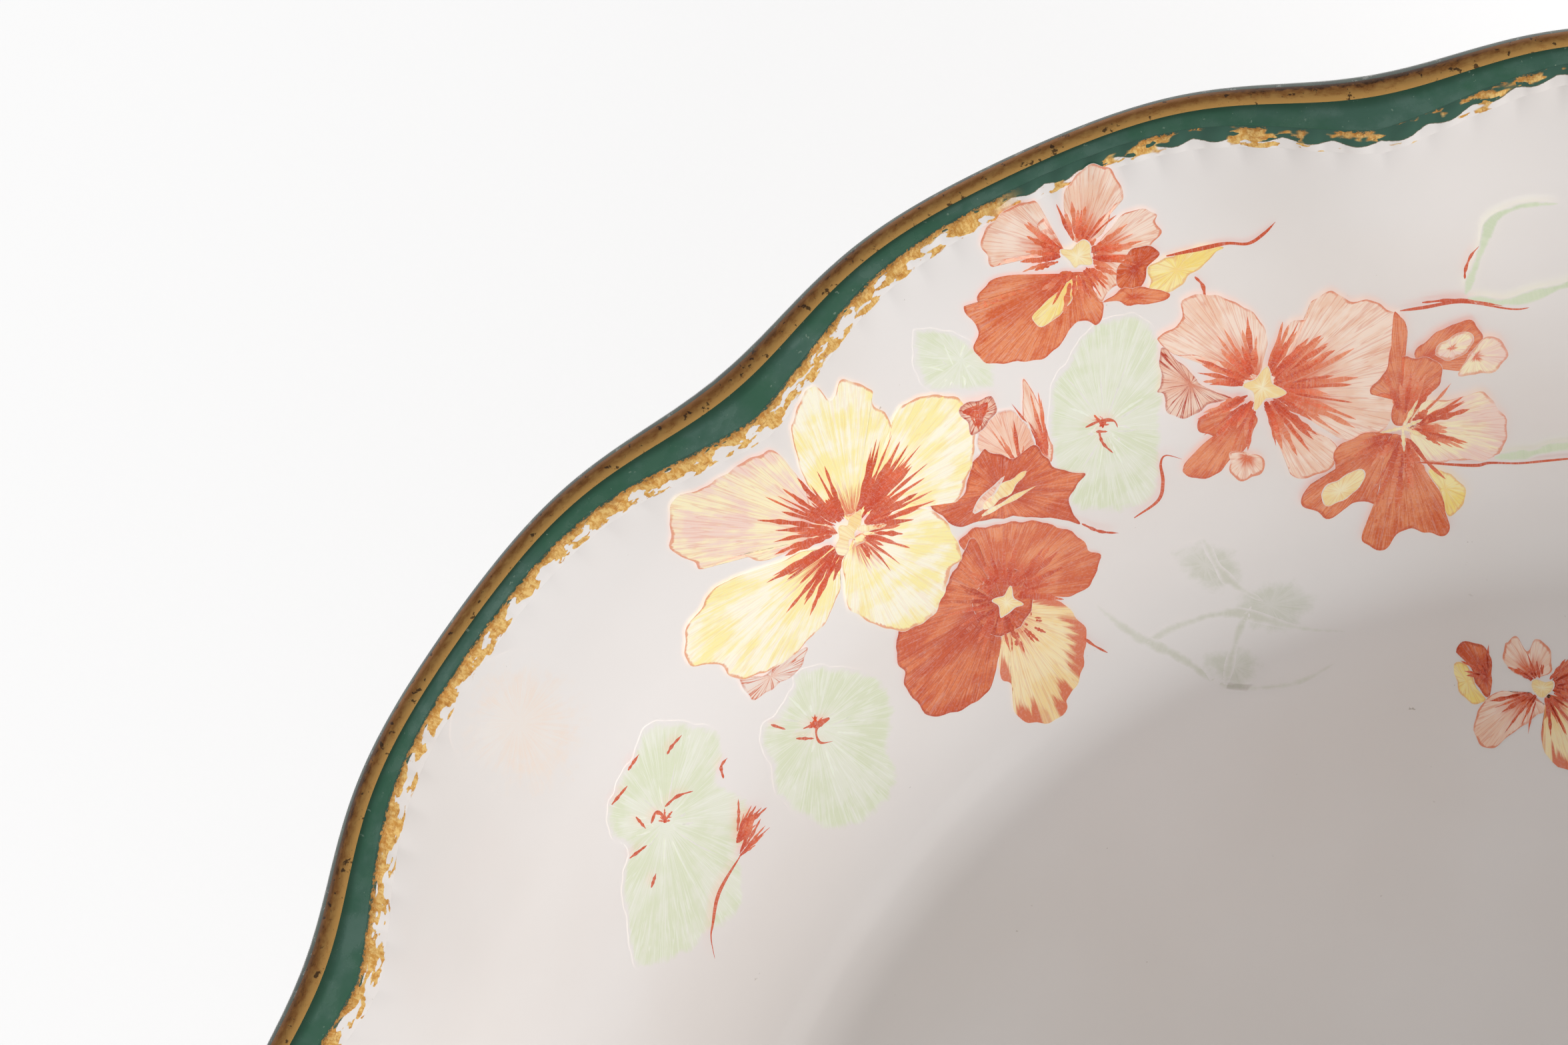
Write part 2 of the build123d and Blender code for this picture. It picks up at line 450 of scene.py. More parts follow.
def green_enamel():
    """Band attribute 'across' runs from 0 at the gold line to 1 at the lace."""
    s = Shader("green_enamel", 0.2)
    across = s.attribute("across", "Fac")
    patch = s.ramp(s.cloud(380.0, 4.0, 0.6), 0.38, 0.64)
    colour = s.mix(patch, GREEN, srgb(72, 102, 90))
    cloud = s.ramp(s.cloud(130.0, 4.0, 0.6), 0.38, 0.62)
    colour = s.mix(s.times(cloud, 0.6), colour, srgb(38, 86, 60))
    rim = s.ramp(across, 0.0, 0.3, 0.8, 0.0)
    colour = s.mix(rim, colour, GREEN_DARK)
    chip = s.ramp(s.cloud(1900.0, 2.0), 0.7, 0.74)
    colour = s.mix(s.times(chip, 0.35), colour, srgb(150, 168, 150))
    s.bump(s.cloud(700.0, 3.0), 0.1, 0.0001)
    return s.finish(colour, s.ramp(patch, 0.0, 1.0, 0.16, 0.3))


def edge_enamel():
    """The green on the outside of the lip, worn to the white body in flecks."""
    s = Shader("worn_edge_enamel", 0.22)
    across = s.attribute("across", "Fac")
    patch = s.ramp(s.cloud(420.0, 4.0, 0.6), 0.3, 0.7)
    colour = s.mix(patch, srgb(40, 66, 52), srgb(78, 108, 84))
    fleck = s.ramp(s.cloud(900.0, 4.0, 0.7), 0.58, 0.64)
    colour = s.mix(s.times(fleck, 0.8), colour, srgb(196, 200, 190))
    ragged = s.plus(across, s.times(s.cloud(700.0, 3.0), 0.35))
    colour = s.mix(s.ramp(ragged, 0.95, 1.02, 1.0, 0.0), colour, porcelain_colour(s))
    return s.finish(colour)


print("the greens are ready")

# %% Gold line
LIP_SHADE_BROWN = srgb(92, 56, 26)
UMBER = srgb(58, 38, 22)


def gold_line():
    """Painted reflection and shade of the lip's curve: brown outer side, bright inner side, dark flecks.
    """
    s = Shader("gold_line", 0.32, 0.2)
    across = s.attribute("across", "Fac")
    streak = s.noise(s.attribute("brush", "Vector"), 1.0, 4.0, 0.65)
    wander = s.plus(across, s.times(s.minus(streak, 0.5), 1.1))
    # From the outer side to the inner one the gold turns from brown to bright: painted reflection of the
    # lip's curve.
    colour = s.mix(s.ramp(wander, 0.3, 0.8), srgb(184, 120, 56), srgb(226, 172, 96))
    # The brown along the outer side is painted shade and dark reflection, broken into patches by noise.
    shade_patches = s.ramp(s.cloud(30.0, 2.0), 0.4, 0.6)
    dark = s.times(s.ramp(wander, 0.1, 0.42, 1.0, 0.0), shade_patches)
    colour = s.mix(dark, colour, LIP_SHADE_BROWN)
    pits = s.ramp(s.cloud(1500.0, 3.0), 0.62, 0.68)
    colour = s.mix(s.times(pits, 0.85), colour, UMBER)
    s.bump(streak, 0.2, 0.0001)
    return s.finish(colour, s.ramp(streak, 0.3, 0.7, 0.25, 0.45))


print("the line's gold is ready")

# %% Brushed gold border


def gold_lace():
    """Brushed gold whose inner edge breaks up into teeth; green or porcelain shows behind."""
    s = Shader("brushed_gold", 0.3, 0.15)
    across = s.attribute("across", "Fac")
    wear = s.attribute("wear", "Fac")
    scallop = s.attribute("scallop", "Fac")
    brush = s.attribute("brush", "Vector")
    fringe = s.minus(s.noise(brush, 2.2, 5.0, 0.7, 0.5), 0.5)
    tooth = s.ramp(s.noise(brush, 0.5, 2.0, 0.5), 0.42, 0.6, -0.5, 0.5)
    reach = s.plus(s.times(tooth, 0.72), s.times(fringe, 0.5))
    reach = s.plus(reach, s.times(scallop, -0.25))
    ragged = s.plus(across, reach)
    patch = s.ramp(s.noise(brush, 0.16, 3.0, 0.6), 0.52, 0.56)
    lost = s.times(s.ramp(wear, 0.35, 0.65), s.minus(1.0, patch))
    green_edge = s.plus(s.times(wear, 0.36), 0.22)
    green_edge = s.plus(green_edge, s.times(s.times(scallop, wear), 0.22))
    green_edge = s.plus(green_edge, s.times(fringe, 0.12))
    past_green = s.minus(across, green_edge)
    bare = s.ramp(past_green, -0.012, 0.012)
    gold_edge = s.ramp(wear, 0.35, 0.65, 0.58, 0.68)
    kept = s.ramp(s.minus(ragged, gold_edge), -0.02, 0.03, 1.0, 0.0)
    kept = s.times(kept, s.minus(1.0, lost))
    start = s.ramp(s.plus(across, s.times(fringe, 0.5)), 0.04, 0.1)
    kept = s.times(kept, start)
    lines = s.noise(s.stretch(brush, (1.0, 1.0, 0.25)), 2.6, 4.0, 0.7)
    colour = s.mix(s.ramp(lines, 0.38, 0.62), srgb(214, 154, 72), srgb(244, 204, 128))
    dark = s.ramp(s.noise(brush, 0.8, 4.0, 0.7), 0.54, 0.66, 0.0, 0.6)
    base = s.ramp(s.plus(across, s.times(fringe, 0.8)), 0.06, 0.34, 0.7, 0.0)
    colour = s.mix(s.math("MAXIMUM", dark, base), colour, srgb(178, 108, 42))
    behind = s.mix(bare, GREEN, porcelain_colour(s))
    seam = s.ramp(s.math("ABSOLUTE", past_green), 0.0, 0.035, 0.75, 0.0)
    behind = s.mix(seam, behind, srgb(96, 84, 50))
    s.plug(s.times(kept, 0.15), s.surface.inputs["Metallic"])
    s.bump(s.times(kept, lines), 0.35, 0.0002)
    return s.finish(s.mix(kept, behind, colour), s.ramp(kept, 0.0, 1.0, 0.13, 0.36))


print("the border's gold is ready")

# %% [markdown]
# ## Laying the bands
# A band could be cut out of the body's mesh, but its edges swell at every notch, so each is
# a strip of rows between two edges of its own.  The strip's rims dip towards the body.

# %% Band meshes
BAND_COLUMNS = 2880
EDGE_DROP = 0.6
BRUSH_RADIUS = 130
BRUSH_ACROSS = 2.2


def make_band(name, node, material, outer, inner, rows, lift, wear=None):
    """A coat between two edges, each given at a crest and at a notch."""
    angle = np.linspace(0, 2 * math.pi, BAND_COLUMNS, endpoint=False)
    far, near = band_edge(outer, angle), band_edge(inner, angle)
    sheets, across, brush = [], [], []
    stroke = [BRUSH_RADIUS * np.cos(angle), BRUSH_RADIUS * np.sin(angle)]
    for share in np.linspace(0, 1, rows):
        distance = far + (near - far) * share
        edge_drop = EDGE_DROP if share in (0.0, 1.0) else 0.0
        height = lift * (1 - edge_drop) + np.maximum(ripple(distance, angle), 0) * BAND_RIPPLE
        sheets.append(turned(rim_station(distance, height), angle))
        across.append(np.full(BAND_COLUMNS, share))
        brush.append(np.stack([*stroke, distance * BRUSH_ACROSS], -1))
    attributes = [("across", "FLOAT", np.concatenate(across)),
                  ("brush", "FLOAT_VECTOR", np.concatenate(brush))]
    if wear is not None:
        attributes.append(("wear", "FLOAT", np.tile(wear(angle), rows)))
        attributes.append(("scallop", "FLOAT", np.tile(gadroon(angle), rows)))
    piece = new_piece(name, np.concatenate(sheets), ring_faces(rows, BAND_COLUMNS), material,
                      attributes)
    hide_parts(node)
    print(name, len(piece.data.polygons), "quads")


def lace_wear(angle):
    """0 where the gold border is nearly whole and 1 where most of it has gone."""
    worn = 0.0
    for middle, half in ((108.0, 13.0), (12.0, 22.0), (232.0, 17.0), (305.0, 12.0)):
        away = np.abs((np.degrees(angle) - middle + 180) % 360 - 180)
        worn = worn + 1 / (1 + (away / half) ** 8)
    return np.clip(worn, 0, 1)


make_band("lip_edge_enamel", "outer_edge_enamel", edge_enamel(),
          ENAMEL_OUTER, LINE_OUTER, 10, 0.05)
make_band("lip_gold_line", "gold_rim_line", gold_line(), LINE_OUTER, LINE_INNER, 6, 0.06)
make_band("painted_green_band", "green_rim_band", green_enamel(),
          LINE_INNER, GREEN_INNER, 8, 0.05)
make_band("brushed_gold_border", "gold_lace_border", gold_lace(),
          GREEN_INNER, TEETH_INNER, 8, 0.07, lace_wear)

# %% [markdown]
# ## How the flowers were printed
# The sprays are transfers: an engraved sheet of pansies and nasturtium leaves, printed in
# iron red, coral, yellow and a very pale green, and fired on.  Each petal below is a thin
# sheet on the wall.  It knows where it is between the flower's heart and its own edge, so
# one finish can draw the wash of colour, the engraved veins and the broken contour.

# %% Inks
# Four colours: at the heart, of the petal's two tones and of its lines.  Then the strength
# of the veins, the softness of the edge in millimetres and the strength of the contour.
# Then where the heart's colour starts and stops fading, and the contour's width.
INKS = {
    "leaf": ((231, 233, 217), (229, 231, 213), (219, 225, 195), (242, 243, 234), (0.4, 0.8, 0.0),
        (0.0, 0.3, 0.2)),
    "yellow": ((226, 112, 76), (253, 247, 224), (251, 237, 166), (230, 152, 112), (0.12, 0.05, 0.85),
        (0.06, 0.3, 0.34)),
    "blush": ((226, 112, 76), (251, 238, 196), (244, 212, 198), (226, 142, 114), (0.3, 0.05, 0.8),
        (0.06, 0.3, 0.34)),
    "pale": ((222, 108, 66), (249, 224, 206), (243, 202, 176), (222, 124, 86), (0.4, 0.05, 0.85),
        (0.14, 0.62, 0.3)),
    "coral": ((208, 82, 42), (234, 144, 98), (216, 104, 60), (198, 72, 38), (0.4, 0.05, 0.6),
        (0.1, 0.55, 0.3)),
    "deep": ((190, 60, 26), (228, 126, 78), (206, 86, 44), (178, 52, 24), (0.4, 0.05, 0.6),
        (0.1, 0.6, 0.3)),
    "rimmed": ((226, 128, 92), (251, 230, 182), (248, 218, 158), (218, 106, 76), (0.22, 0.05, 0.9),
        (0.1, 0.4, 2.0)),
    "gold": ((250, 220, 140), (251, 234, 168), (248, 220, 124), (224, 140, 94), (0.3, 0.08, 0.5),
        (0.0, 0.3, 0.3)),
    "hatch": ((222, 138, 106), (240, 208, 188), (234, 180, 154), (184, 60, 32), (1.0, 0.08, 0.6),
        (0.0, 0.5, 0.35)),
    "comb": ((240, 206, 188), (236, 222, 212), (238, 212, 196), (212, 116, 84), (1.0, 0.12, 0.5),
        (0.0, 0.5, 0.3)),
    "peach": ((248, 218, 194), (246, 210, 188), (240, 188, 160), (222, 124, 94), (0.5, 0.3, 0.4),
        (0.0, 0.5, 0.3)),
    # The next two inks paint the shade that the outside sprigs cast through the thin body.
    "shadow_through_body": ((224, 221, 213), (222, 220, 211), (214, 213, 200), (210, 208, 196), (0.4, 1.8, 0.0),
        (0.0, 0.5, 0.3)),
    "shadow_through_body_line": ((220, 218, 207), (221, 219, 208), (214, 212, 199), (214, 212, 200), (0.2, 0.5, 0.0),
        (0.0, 0.5, 0.1)),
    "smear": ((236, 228, 221), (235, 228, 222), (237, 223, 212), (238, 215, 200), (0.3, 4.5, 0.0),
        (0.0, 0.5, 0.3)),
    "line": ((208, 88, 52), (214, 98, 60), (202, 80, 44), (194, 70, 38), (0.2, 0.08, 0.0),
        (0.0, 0.5, 0.1)),
    "flare": ((200, 70, 34), (228, 118, 72), (216, 94, 52), (190, 60, 30), (0.2, 0.08, 0.0),
        (0.1, 0.8, 0.1)),
    "warm": ((218, 100, 58), (238, 152, 112), (228, 124, 82), (208, 88, 50), (0.2, 0.08, 0.0),
        (0.1, 0.8, 0.1)),
    "pale_line": ((238, 241, 226), (236, 240, 224), (232, 237, 217), (230, 236, 214), (0.1, 0.12, 0.0),
        (0.0, 0.5, 0.1)),
    "green_line": ((214, 222, 194), (216, 224, 196), (208, 218, 188), (206, 216, 184), (0.2, 0.3, 0.0),
        (0.0, 0.5, 0.1)),
    "throat": ((252, 240, 200), (249, 230, 176), (246, 216, 150), (232, 160, 100), (0.3, 0.15, 0.3),
        (0.0, 0.6, 0.2)),
}


def transfer_print():
    """One finish for every ink; all that differs is stored on the points."""
    s = Shader("fired_transfer", 0.15)
    s.surface.inputs["Coat Weight"].default_value = 0.3
    s.surface.inputs["Coat Roughness"].default_value = 0.04
    where = s.attribute("print_place", "Vector")
    from_edge = s.split(where)["Y"]
    manner = s.split(s.attribute("manner", "Vector"))
    spread = s.split(s.attribute("spread", "Vector"))
    streak = s.minus(s.noise(s.stretch(where, (1.5, 0.2, 7.0)), 1.0, 4.0, 0.65, 0.2), 0.5)
    cloud = s.cloud(230.0, 3.0, 0.55)
    fade = s.plus(s.attribute("reach", "Fac"), streak)
    tone = s.ramp(s.plus(cloud, s.times(streak, 0.8)), 0.36, 0.64)
    colour = s.mix(tone, s.attribute("ink_wash"), s.attribute("ink_tone"))
    colour = s.mix(s.ramp(fade, spread["X"], spread["Y"]), s.attribute("ink_heart"), colour)
    thread = s.noise(s.stretch(where, (2.6, 0.16, 3.0)), 1.0, 1.5, 0.5, 0.4)
    thread = s.math("ABSOLUTE", s.minus(thread, 0.5))
    vein = s.times(s.ramp(thread, 0.01, 0.05, 1.0, 0.0), manner["X"])
    colour = s.mix(vein, colour, s.attribute("ink_line"))
    gap = s.noise(s.stretch(where, (3.4, 0.17, 5.0)), 1.0, 1.5, 0.5, 0.4)
    gap = s.math("ABSOLUTE", s.minus(gap, 0.5))
    colour = s.mix(s.ramp(gap, 0.005, 0.035, 0.13, 0.0), colour, porcelain_colour(s))
    breaks = s.ramp(s.noise(s.stretch(where, (0.45, 0.0, 9.0)), 1.0, 2.0), 0.36, 0.5)
    fray = s.times(s.times(streak, spread["Z"]), 2.4)
    inner_edge = s.times(spread["Z"], 0.45)
    outline = s.ramp(s.plus(from_edge, fray), inner_edge, spread["Z"], 1.0, 0.0)
    outline = s.times(s.times(outline, breaks), manner["Z"])
    colour = s.mix(outline, colour, s.attribute("ink_line"))
    grain = s.ramp(s.cloud(4200.0, 2.0), 0.45, 0.7, 0.0, 0.1)
    colour = s.mix(grain, colour, porcelain_colour(s))
    torn = s.minus(s.cloud(900.0, 4.0, 0.6), 0.5)
    torn = s.times(torn, s.times(manner["Y"], 1.6))
    kept = s.ramp(s.plus(from_edge, torn), 0.0, manner["Y"])
    return s.finish(s.mix(kept, porcelain_colour(s), colour))


TRANSFER = transfer_print()
print(len(INKS), "inks")

# %% [markdown]
# ## Petals and strokes
# A petal is a fan: rings of points between its heart and its outline, whose points are
# joined by a smooth curve.  A stroke is a ribbon that tapers from a fine start to a fine
# end.  Both could be painted on one image, but a drawn sheet stays sharp at any distance and
# has a finish of its own.  They are flat drawings in millimetres: the first number goes along
# the rim, the second outwards, from a point in the middle of the wall.

# %% A smooth curve
OUTLINE_STEPS = 6
STROKE_STEPS = 7


def smooth_curve(points, steps, closed):
    """A Catmull-Rom curve through points."""
    p = np.array(points, float)
    if not closed:
        p = np.concatenate([[2 * p[0] - p[1]], p, [2 * p[-1] - p[-2]]])
    before, after, far = np.roll(p, 1, 0), np.roll(p, -1, 0), np.roll(p, -2, 0)
    rows = []
    for t in np.arange(steps) / steps:
        rows.append(p + 0.5 * ((after - before) * t
                               + (2 * before - 5 * p + 4 * after - far) * t ** 2
                               + (3 * p - before - 3 * after + far) * t ** 3))
    curve = np.stack(rows, 1)
    return curve.reshape(-1, 2) if closed else curve[1:-2].reshape(-1, 2)


SQUARE = ((0, 0), (1, 0), (1, 1), (0, 1))
print("a square's outline gets", len(smooth_curve(SQUARE, OUTLINE_STEPS, True)), "points")

# %% Drawing tools
# Each petal or fan is a layer of its own, a little higher than the one before.
PETAL_RINGS = 9
FIRST_LIFT = 0.04
LAYER_LIFT = 0.005


class Drawing:
    """Petals and strokes gathered into one flat mesh, with their inks."""

    def __init__(self, seed):
        self.random = np.random.default_rng(seed)
        self.points, self.faces, self.lift, self.reach = [], [], [], []
        self.place, self.manner, self.spread = [], [], []
        self.inks = {"ink_heart": [], "ink_wash": [], "ink_tone": [], "ink_line": []}
        self.count = 0
        self.layer = 0

    def add(self, ink, points, faces, reach, around, from_edge):
        """Keep a shape's points with what the finish has to know about each of them."""
        *swatches, manner, spread = INKS[ink]
        total = len(points)
        number = float(self.random.uniform(0, 40))
        self.points.append(points)
        self.faces += [tuple(corner + self.count for corner in face) for face in faces]
        self.count += total
        self.lift.append(np.full(total, FIRST_LIFT + LAYER_LIFT * self.layer))
        self.reach.append(reach)
        self.place.append(np.stack([around, from_edge, np.full(total, number)], -1))
        self.manner.append(np.tile(manner, (total, 1)))
        self.spread.append(np.tile(spread, (total, 1)))
        for label, swatch in zip(self.inks, swatches):
            self.inks[label].append(np.tile((*srgb(*swatch), 1.0), (total, 1)))

    def petal(self, ink, outline):
        """A sheet from its heart, the first point, to a smooth curve through the others."""
        self.layer += 1
        heart = np.array(outline[0], float)
        rim = smooth_curve(outline[1:], OUTLINE_STEPS, True)
        step = np.linalg.norm(np.roll(rim, -1, 0) - rim, axis=1)
        around = np.concatenate([[0], np.cumsum(step)[:-1]])
        away = rim - heart
        length = np.linalg.norm(away, axis=1) + 1e-6
        wave = np.sin(around * 2.1 + self.random.uniform(0, 6))
        wave = wave + np.sin(around * 3.7 + self.random.uniform(0, 6))
        away = away * (1 + 0.07 * wave / length)[:, None]
        shares = np.linspace(0, 1, PETAL_RINGS + 1)[1:]
        points = [heart + away * share for share in shares]
        total = len(rim)
        faces = ring_faces(PETAL_RINGS, total)
        faces += [(PETAL_RINGS * total, (i + 1) % total, i) for i in range(total)]
        self.add(ink, np.concatenate(points + [[heart]]), faces,
                 np.append(np.repeat(shares, total), 0.0),
                 np.append(np.tile(around, PETAL_RINGS), 0.0),
                 np.append(np.concatenate([length * (1 - share) for share in shares]),
                           length.mean()))

    def stroke(self, ink, line, width=0.45, taper=(0.35, 0.1)):
        """A ribbon along a line that swells in the middle and tapers at both ends."""
        middle = smooth_curve(line, STROKE_STEPS, False)
        way = np.gradient(middle, axis=0)
        way = way / (np.linalg.norm(way, axis=1, keepdims=True) + 1e-9)
        side = np.stack([-way[:, 1], way[:, 0]], -1)
        t = np.linspace(0, 1, len(middle))
        half = width / 2 * (taper[0] + (taper[1] - taper[0]) * t
                            + (1 - (taper[0] + taper[1]) / 2) * np.sin(math.pi * t) ** 0.7)
        half = (half * (1 + 0.3 * np.sin(t * self.random.uniform(5, 25))))[:, None]
        points = np.concatenate([middle - side * half, middle, middle + side * half])
        n = len(middle)
        faces = [(r * n + i, r * n + i + 1, (r + 1) * n + i + 1, (r + 1) * n + i)
                 for r in range(2) for i in range(n - 1)]
        travelled = np.tile(t * len(line) * 2, 3)
        from_edge = np.concatenate([np.zeros(n), half[:, 0], np.zeros(n)]) + 0.06
        self.add(ink, points, faces, np.tile(t, 3), travelled, from_edge)

    def fan(self, ink, heart, toward, spread, count, start=1.2, width=0.4, fine_ink="line"):
        """Tapered strokes that spread from a flower's heart."""
        self.layer += 1
        heart, toward = np.array(heart, float), np.array(toward, float)
        way = toward - heart
        length = np.linalg.norm(way)
        angle = math.atan2(way[1], way[0])
        for turn in np.linspace(-spread, spread, count):
            turn = math.radians(turn + self.random.uniform(-4, 4))
            reach = length * self.random.uniform(0.45, 1.12) * math.cos(turn)
            bend = turn * 0.35 + self.random.uniform(-0.06, 0.06)
            first = start + self.random.uniform(0, 0.25) * reach
            line = []
            for step in (first, (first + reach) / 2, reach):
                aim = angle + turn + bend * step / reach
                line.append(heart + step * np.array([math.cos(aim), math.sin(aim)]))
            shade = ink if self.random.uniform() < 0.6 else fine_ink
            self.stroke(shade, line, width * self.random.uniform(0.45, 1.15), (0.3, 0.05))


print("layers are", LAYER_LIFT, "mm apart")

# %% [markdown]
# ## The spray
# One spray from left to right: two pale leaves, a yellow pansy with flame-red markings over
# a brick-red one, a leaf between them, a coral pansy high on the right with its bud, and two
# pink ones that end in a vine.
#
# Most of these petals' points are lists to the half millimetre that a small conversion script
# gave, not places chosen in millimetres or worked out here from a formula.  Changing such a
# petal means changing its list.

# %% Leaves, behind everything
spray = Drawing(SEED)
spray.petal("smear", [(-47, 5), (-52, 8), (-47, 11), (-42, 9), (-41, 3), (-44, -1), (-49, -2), (-53, 3)])
# Faint grey-green leaves and stems: painted shade of the outside sprig, seen through the thin body.
for shadow_through_body in ([(11, -15), (9, -12.5), (12, -13), (14, -15.5), (13.5, -18), (11, -18), (9, -16)],
              [(14, -21), (10.5, -20), (13, -18.5), (17, -20), (18, -23), (15, -24.5), (12, -23)],
              [(8.5, -24), (6, -22), (9, -22), (11, -24), (10, -26), (7, -26)]):
    spray.petal("shadow_through_body", shadow_through_body)
for shadow_through_body in ([(1, -13), (2.5, -17), (5, -21), (7, -25), (12, -28), (17, -28.5)],
              [(3, -18), (7, -18.5), (11, -20), (15, -24), (19, -27)],
              [(12, -13), (12, -17), (14, -21)],
              [(7, -25), (10, -22), (13, -20)]):
    spray.stroke("shadow_through_body_line", shadow_through_body, 0.9)
spray.petal("leaf", [(9.5, 0), (7, 5), (9.5, 6.5), (13, 8), (16, 7.5), (17.5, 6), (17.5, 4), (16, 0.5),
    (14.5, -2), (12.5, -5), (10.5, -7.5), (8, -7.5), (5, -6), (3.5, -4.5), (4.5, -2.5), (4, -0.5)])
spray.petal("leaf", [(2, 11.5), (-0.5, 15.5), (0.5, 15.5), (2, 14.5), (3.5, 12.5), (4.5, 10), (3, 8),
    (1, 9), (-1.5, 10.5), (-2, 12.5)])
spray.petal("leaf", [(-25.5, -9), (-24.5, -4), (-22.5, -4.5), (-20.5, -6), (-18.5, -8), (-18.5, -10.5),
    (-19.5, -12.5), (-21, -14), (-21.5, -16.5), (-23.5, -18), (-26, -18.5), (-28.5, -18), (-30, -16.5),
    (-31, -14.5), (-31.5, -12), (-30.5, -9.5), (-30.5, -8), (-29.5, -6.5), (-27.5, -6), (-25.5, -5)])
spray.petal("leaf", [(-41, -9), (-35.5, -2), (-33, -4.5), (-33.5, -6.5), (-35, -8.5), (-34, -11),
    (-34, -13), (-35, -14.5), (-37, -15), (-38, -17.5), (-40, -19.5), (-43.5, -19.5), (-45.5, -20),
    (-49.5, -19), (-49.5, -17), (-48.5, -15), (-47.5, -12.5), (-46.5, -11), (-45, -9.5), (-45.5, -7.5),
    (-45, -6), (-43.5, -4.5), (-42, -3.5), (-40, -2.5), (-38, -1), (-36.5, -1.5)])
for heart, toward in (((9.5, 0), (14, 5)), ((9.5, 0), (8, -5)), ((9.5, 0), (13, -1)),
                      ((-25.5, -9), (-25, -5)), ((-25.5, -9), (-25, -15)), ((-41, -9), (-38, -4)),
                      ((-41, -9), (-44, -17)), ((1, 10.5), (1, 14))):
    spray.fan("pale_line", heart, toward, 80, 8, 1.0, 0.2, "green_line")
for heart in ((9.5, 0.2), (-25.6, -9), (-41, -9)):
    spray.fan("flare", heart, (heart[0] + 0.6, heart[1] + 1.2), 175, 13, 0.1, 0.24)
print("layers so far:", spray.layer)

# %% The brick-red pansy and what shows behind it
spray.petal("pale", [(4, 1), (3.2, 3), (4, 4.6), (5.2, 6.6), (5.8, 7.2), (5.8, 5), (5.2, 2.5), (4.4, 0),
    (3, 0.6)])
spray.fan("warm", (4, 0), (5.2, 6.6), 10, 12, 0.6, 0.3)
spray.petal("peach", [(1.5, 2), (-0.8, 4.4), (0.2, 5.8), (2, 6.2), (3.6, 5.4), (4, 3.4), (3.4, 1.4),
    (1.4, 0.6), (-0.6, 2)])
spray.fan("warm", (1.4, 0), (1.6, 5), 34, 12, 0.6, 0.34)
spray.petal("deep", [(-1, 0), (-7, 2.5), (-6, 1.5), (-4, 1.5), (-2.5, 3), (-0.5, 4), (0, 3.5), (1.5, 2),
    (3.5, 2), (4, 0.5), (4, -0.5), (5.5, -2), (6, -2.5), (5, -3), (3.5, -4), (3.5, -6), (2.5, -5),
    (0.5, -3.5), (-2, -2), (-4.5, -1), (-6, -0.5), (-6.5, 1)])
spray.fan("throat", (-6, -0.8), (4.4, 0.2), 5, 3, 1.5, 0.9, "peach")
spray.petal("coral", [(-5.5, -7.5), (-6, -6), (-6, -4), (-6.5, -2), (-6, -1.5), (-4.5, -1.5), (-2, -2.5),
    (0, -3.5), (2, -5.5), (3, -7.5), (3, -8.5), (3.5, -9.5), (1.5, -11), (-0.5, -11), (-2, -10),
    (-3.5, -9)])
spray.petal("deep", [(-6, -8), (-5, -2.5), (-7, -3), (-9.5, -4.5), (-11.5, -5.5), (-13, -6), (-15, -5.5),
    (-16.5, -8), (-16.5, -9), (-17, -10), (-17, -11.5), (-16.5, -13.5), (-15.5, -14), (-13.5, -14.5),
    (-12, -14.5), (-10.5, -14), (-9, -12.5), (-7.5, -10.5)])
spray.petal("rimmed", [(-6, -9), (-5, -9.5), (-3, -9.5), (-1.5, -11), (-1, -13), (-1, -14.5),
    (-2.5, -16.5), (-4, -18), (-5.5, -18.5), (-6, -19.5), (-8, -19.5), (-9.5, -18.5), (-10, -17),
    (-9, -15), (-9.5, -14), (-8.5, -12), (-7, -11)])
spray.petal("deep", [(-6, -8.5), (-8, -6.5), (-4, -6), (-3, -8), (-4.5, -10.5), (-8, -10.5)])
spray.fan("flare", (-5.5, -8), (-11.5, -9), 62, 28, 1.0, 0.45, "deep")
spray.fan("flare", (-5.5, -8), (-3.5, -3.5), 50, 20, 1.0, 0.5)
spray.fan("flare", (-5.5, -8), (0.5, -8), 22, 12, 1.0, 0.5)
spray.fan("line", (-6, -9), (-5, -13.5), 26, 12, 2.0, 0.3)
spray.petal("throat", [(-5.6, -8.4), (-6.6, -7.6), (-5.6, -7.7), (-4.6, -7.4), (-4.8, -8.4), (-4.4, -9.4),
    (-5.6, -9.2), (-6.8, -9.4), (-6.4, -8.4)])
print("layers so far:", spray.layer)

# %% The yellow pansy
spray.petal("comb", [(-26.5, -3), (-29, -1.5), (-27.5, -2.5), (-25, -2.5), (-22.5, -2.5), (-23.5, -3.5),
    (-25, -4), (-27, -4), (-29, -4), (-29, -3)])
spray.petal("blush", [(-15, 4.5), (-15.5, 9), (-15.5, 11.5), (-16, 13.5), (-18, 14), (-20, 14), (-23, 14),
    (-25.5, 14.5), (-26.5, 13.5), (-27, 12.5), (-28, 11), (-27, 9), (-26.5, 8), (-23.5, 7.5), (-22, 6),
    (-20, 5.5), (-17.5, 5.5)])
spray.petal("yellow", [(-13.5, 4.5), (-13.5, 5.5), (-15, 9), (-14.5, 12), (-13.5, 14.5), (-11.5, 16),
    (-10, 16.5), (-9.5, 14.5), (-8, 15.5), (-7, 15), (-6, 13.5), (-6.5, 12.5), (-6, 11), (-6.5, 9.5),
    (-8, 8.5), (-9, 7.5), (-11, 6.5), (-12.5, 5.5)])
spray.petal("yellow", [(-13, 5), (-11, 6), (-8, 8), (-6.5, 9.5), (-5.5, 10.5), (-4, 11), (-2, 10.5),
    (0, 9), (0, 6.5), (-1, 4.5), (-2.5, 3), (-4.5, 1.5), (-6, 2), (-8.5, 3.5), (-10.5, 4)])
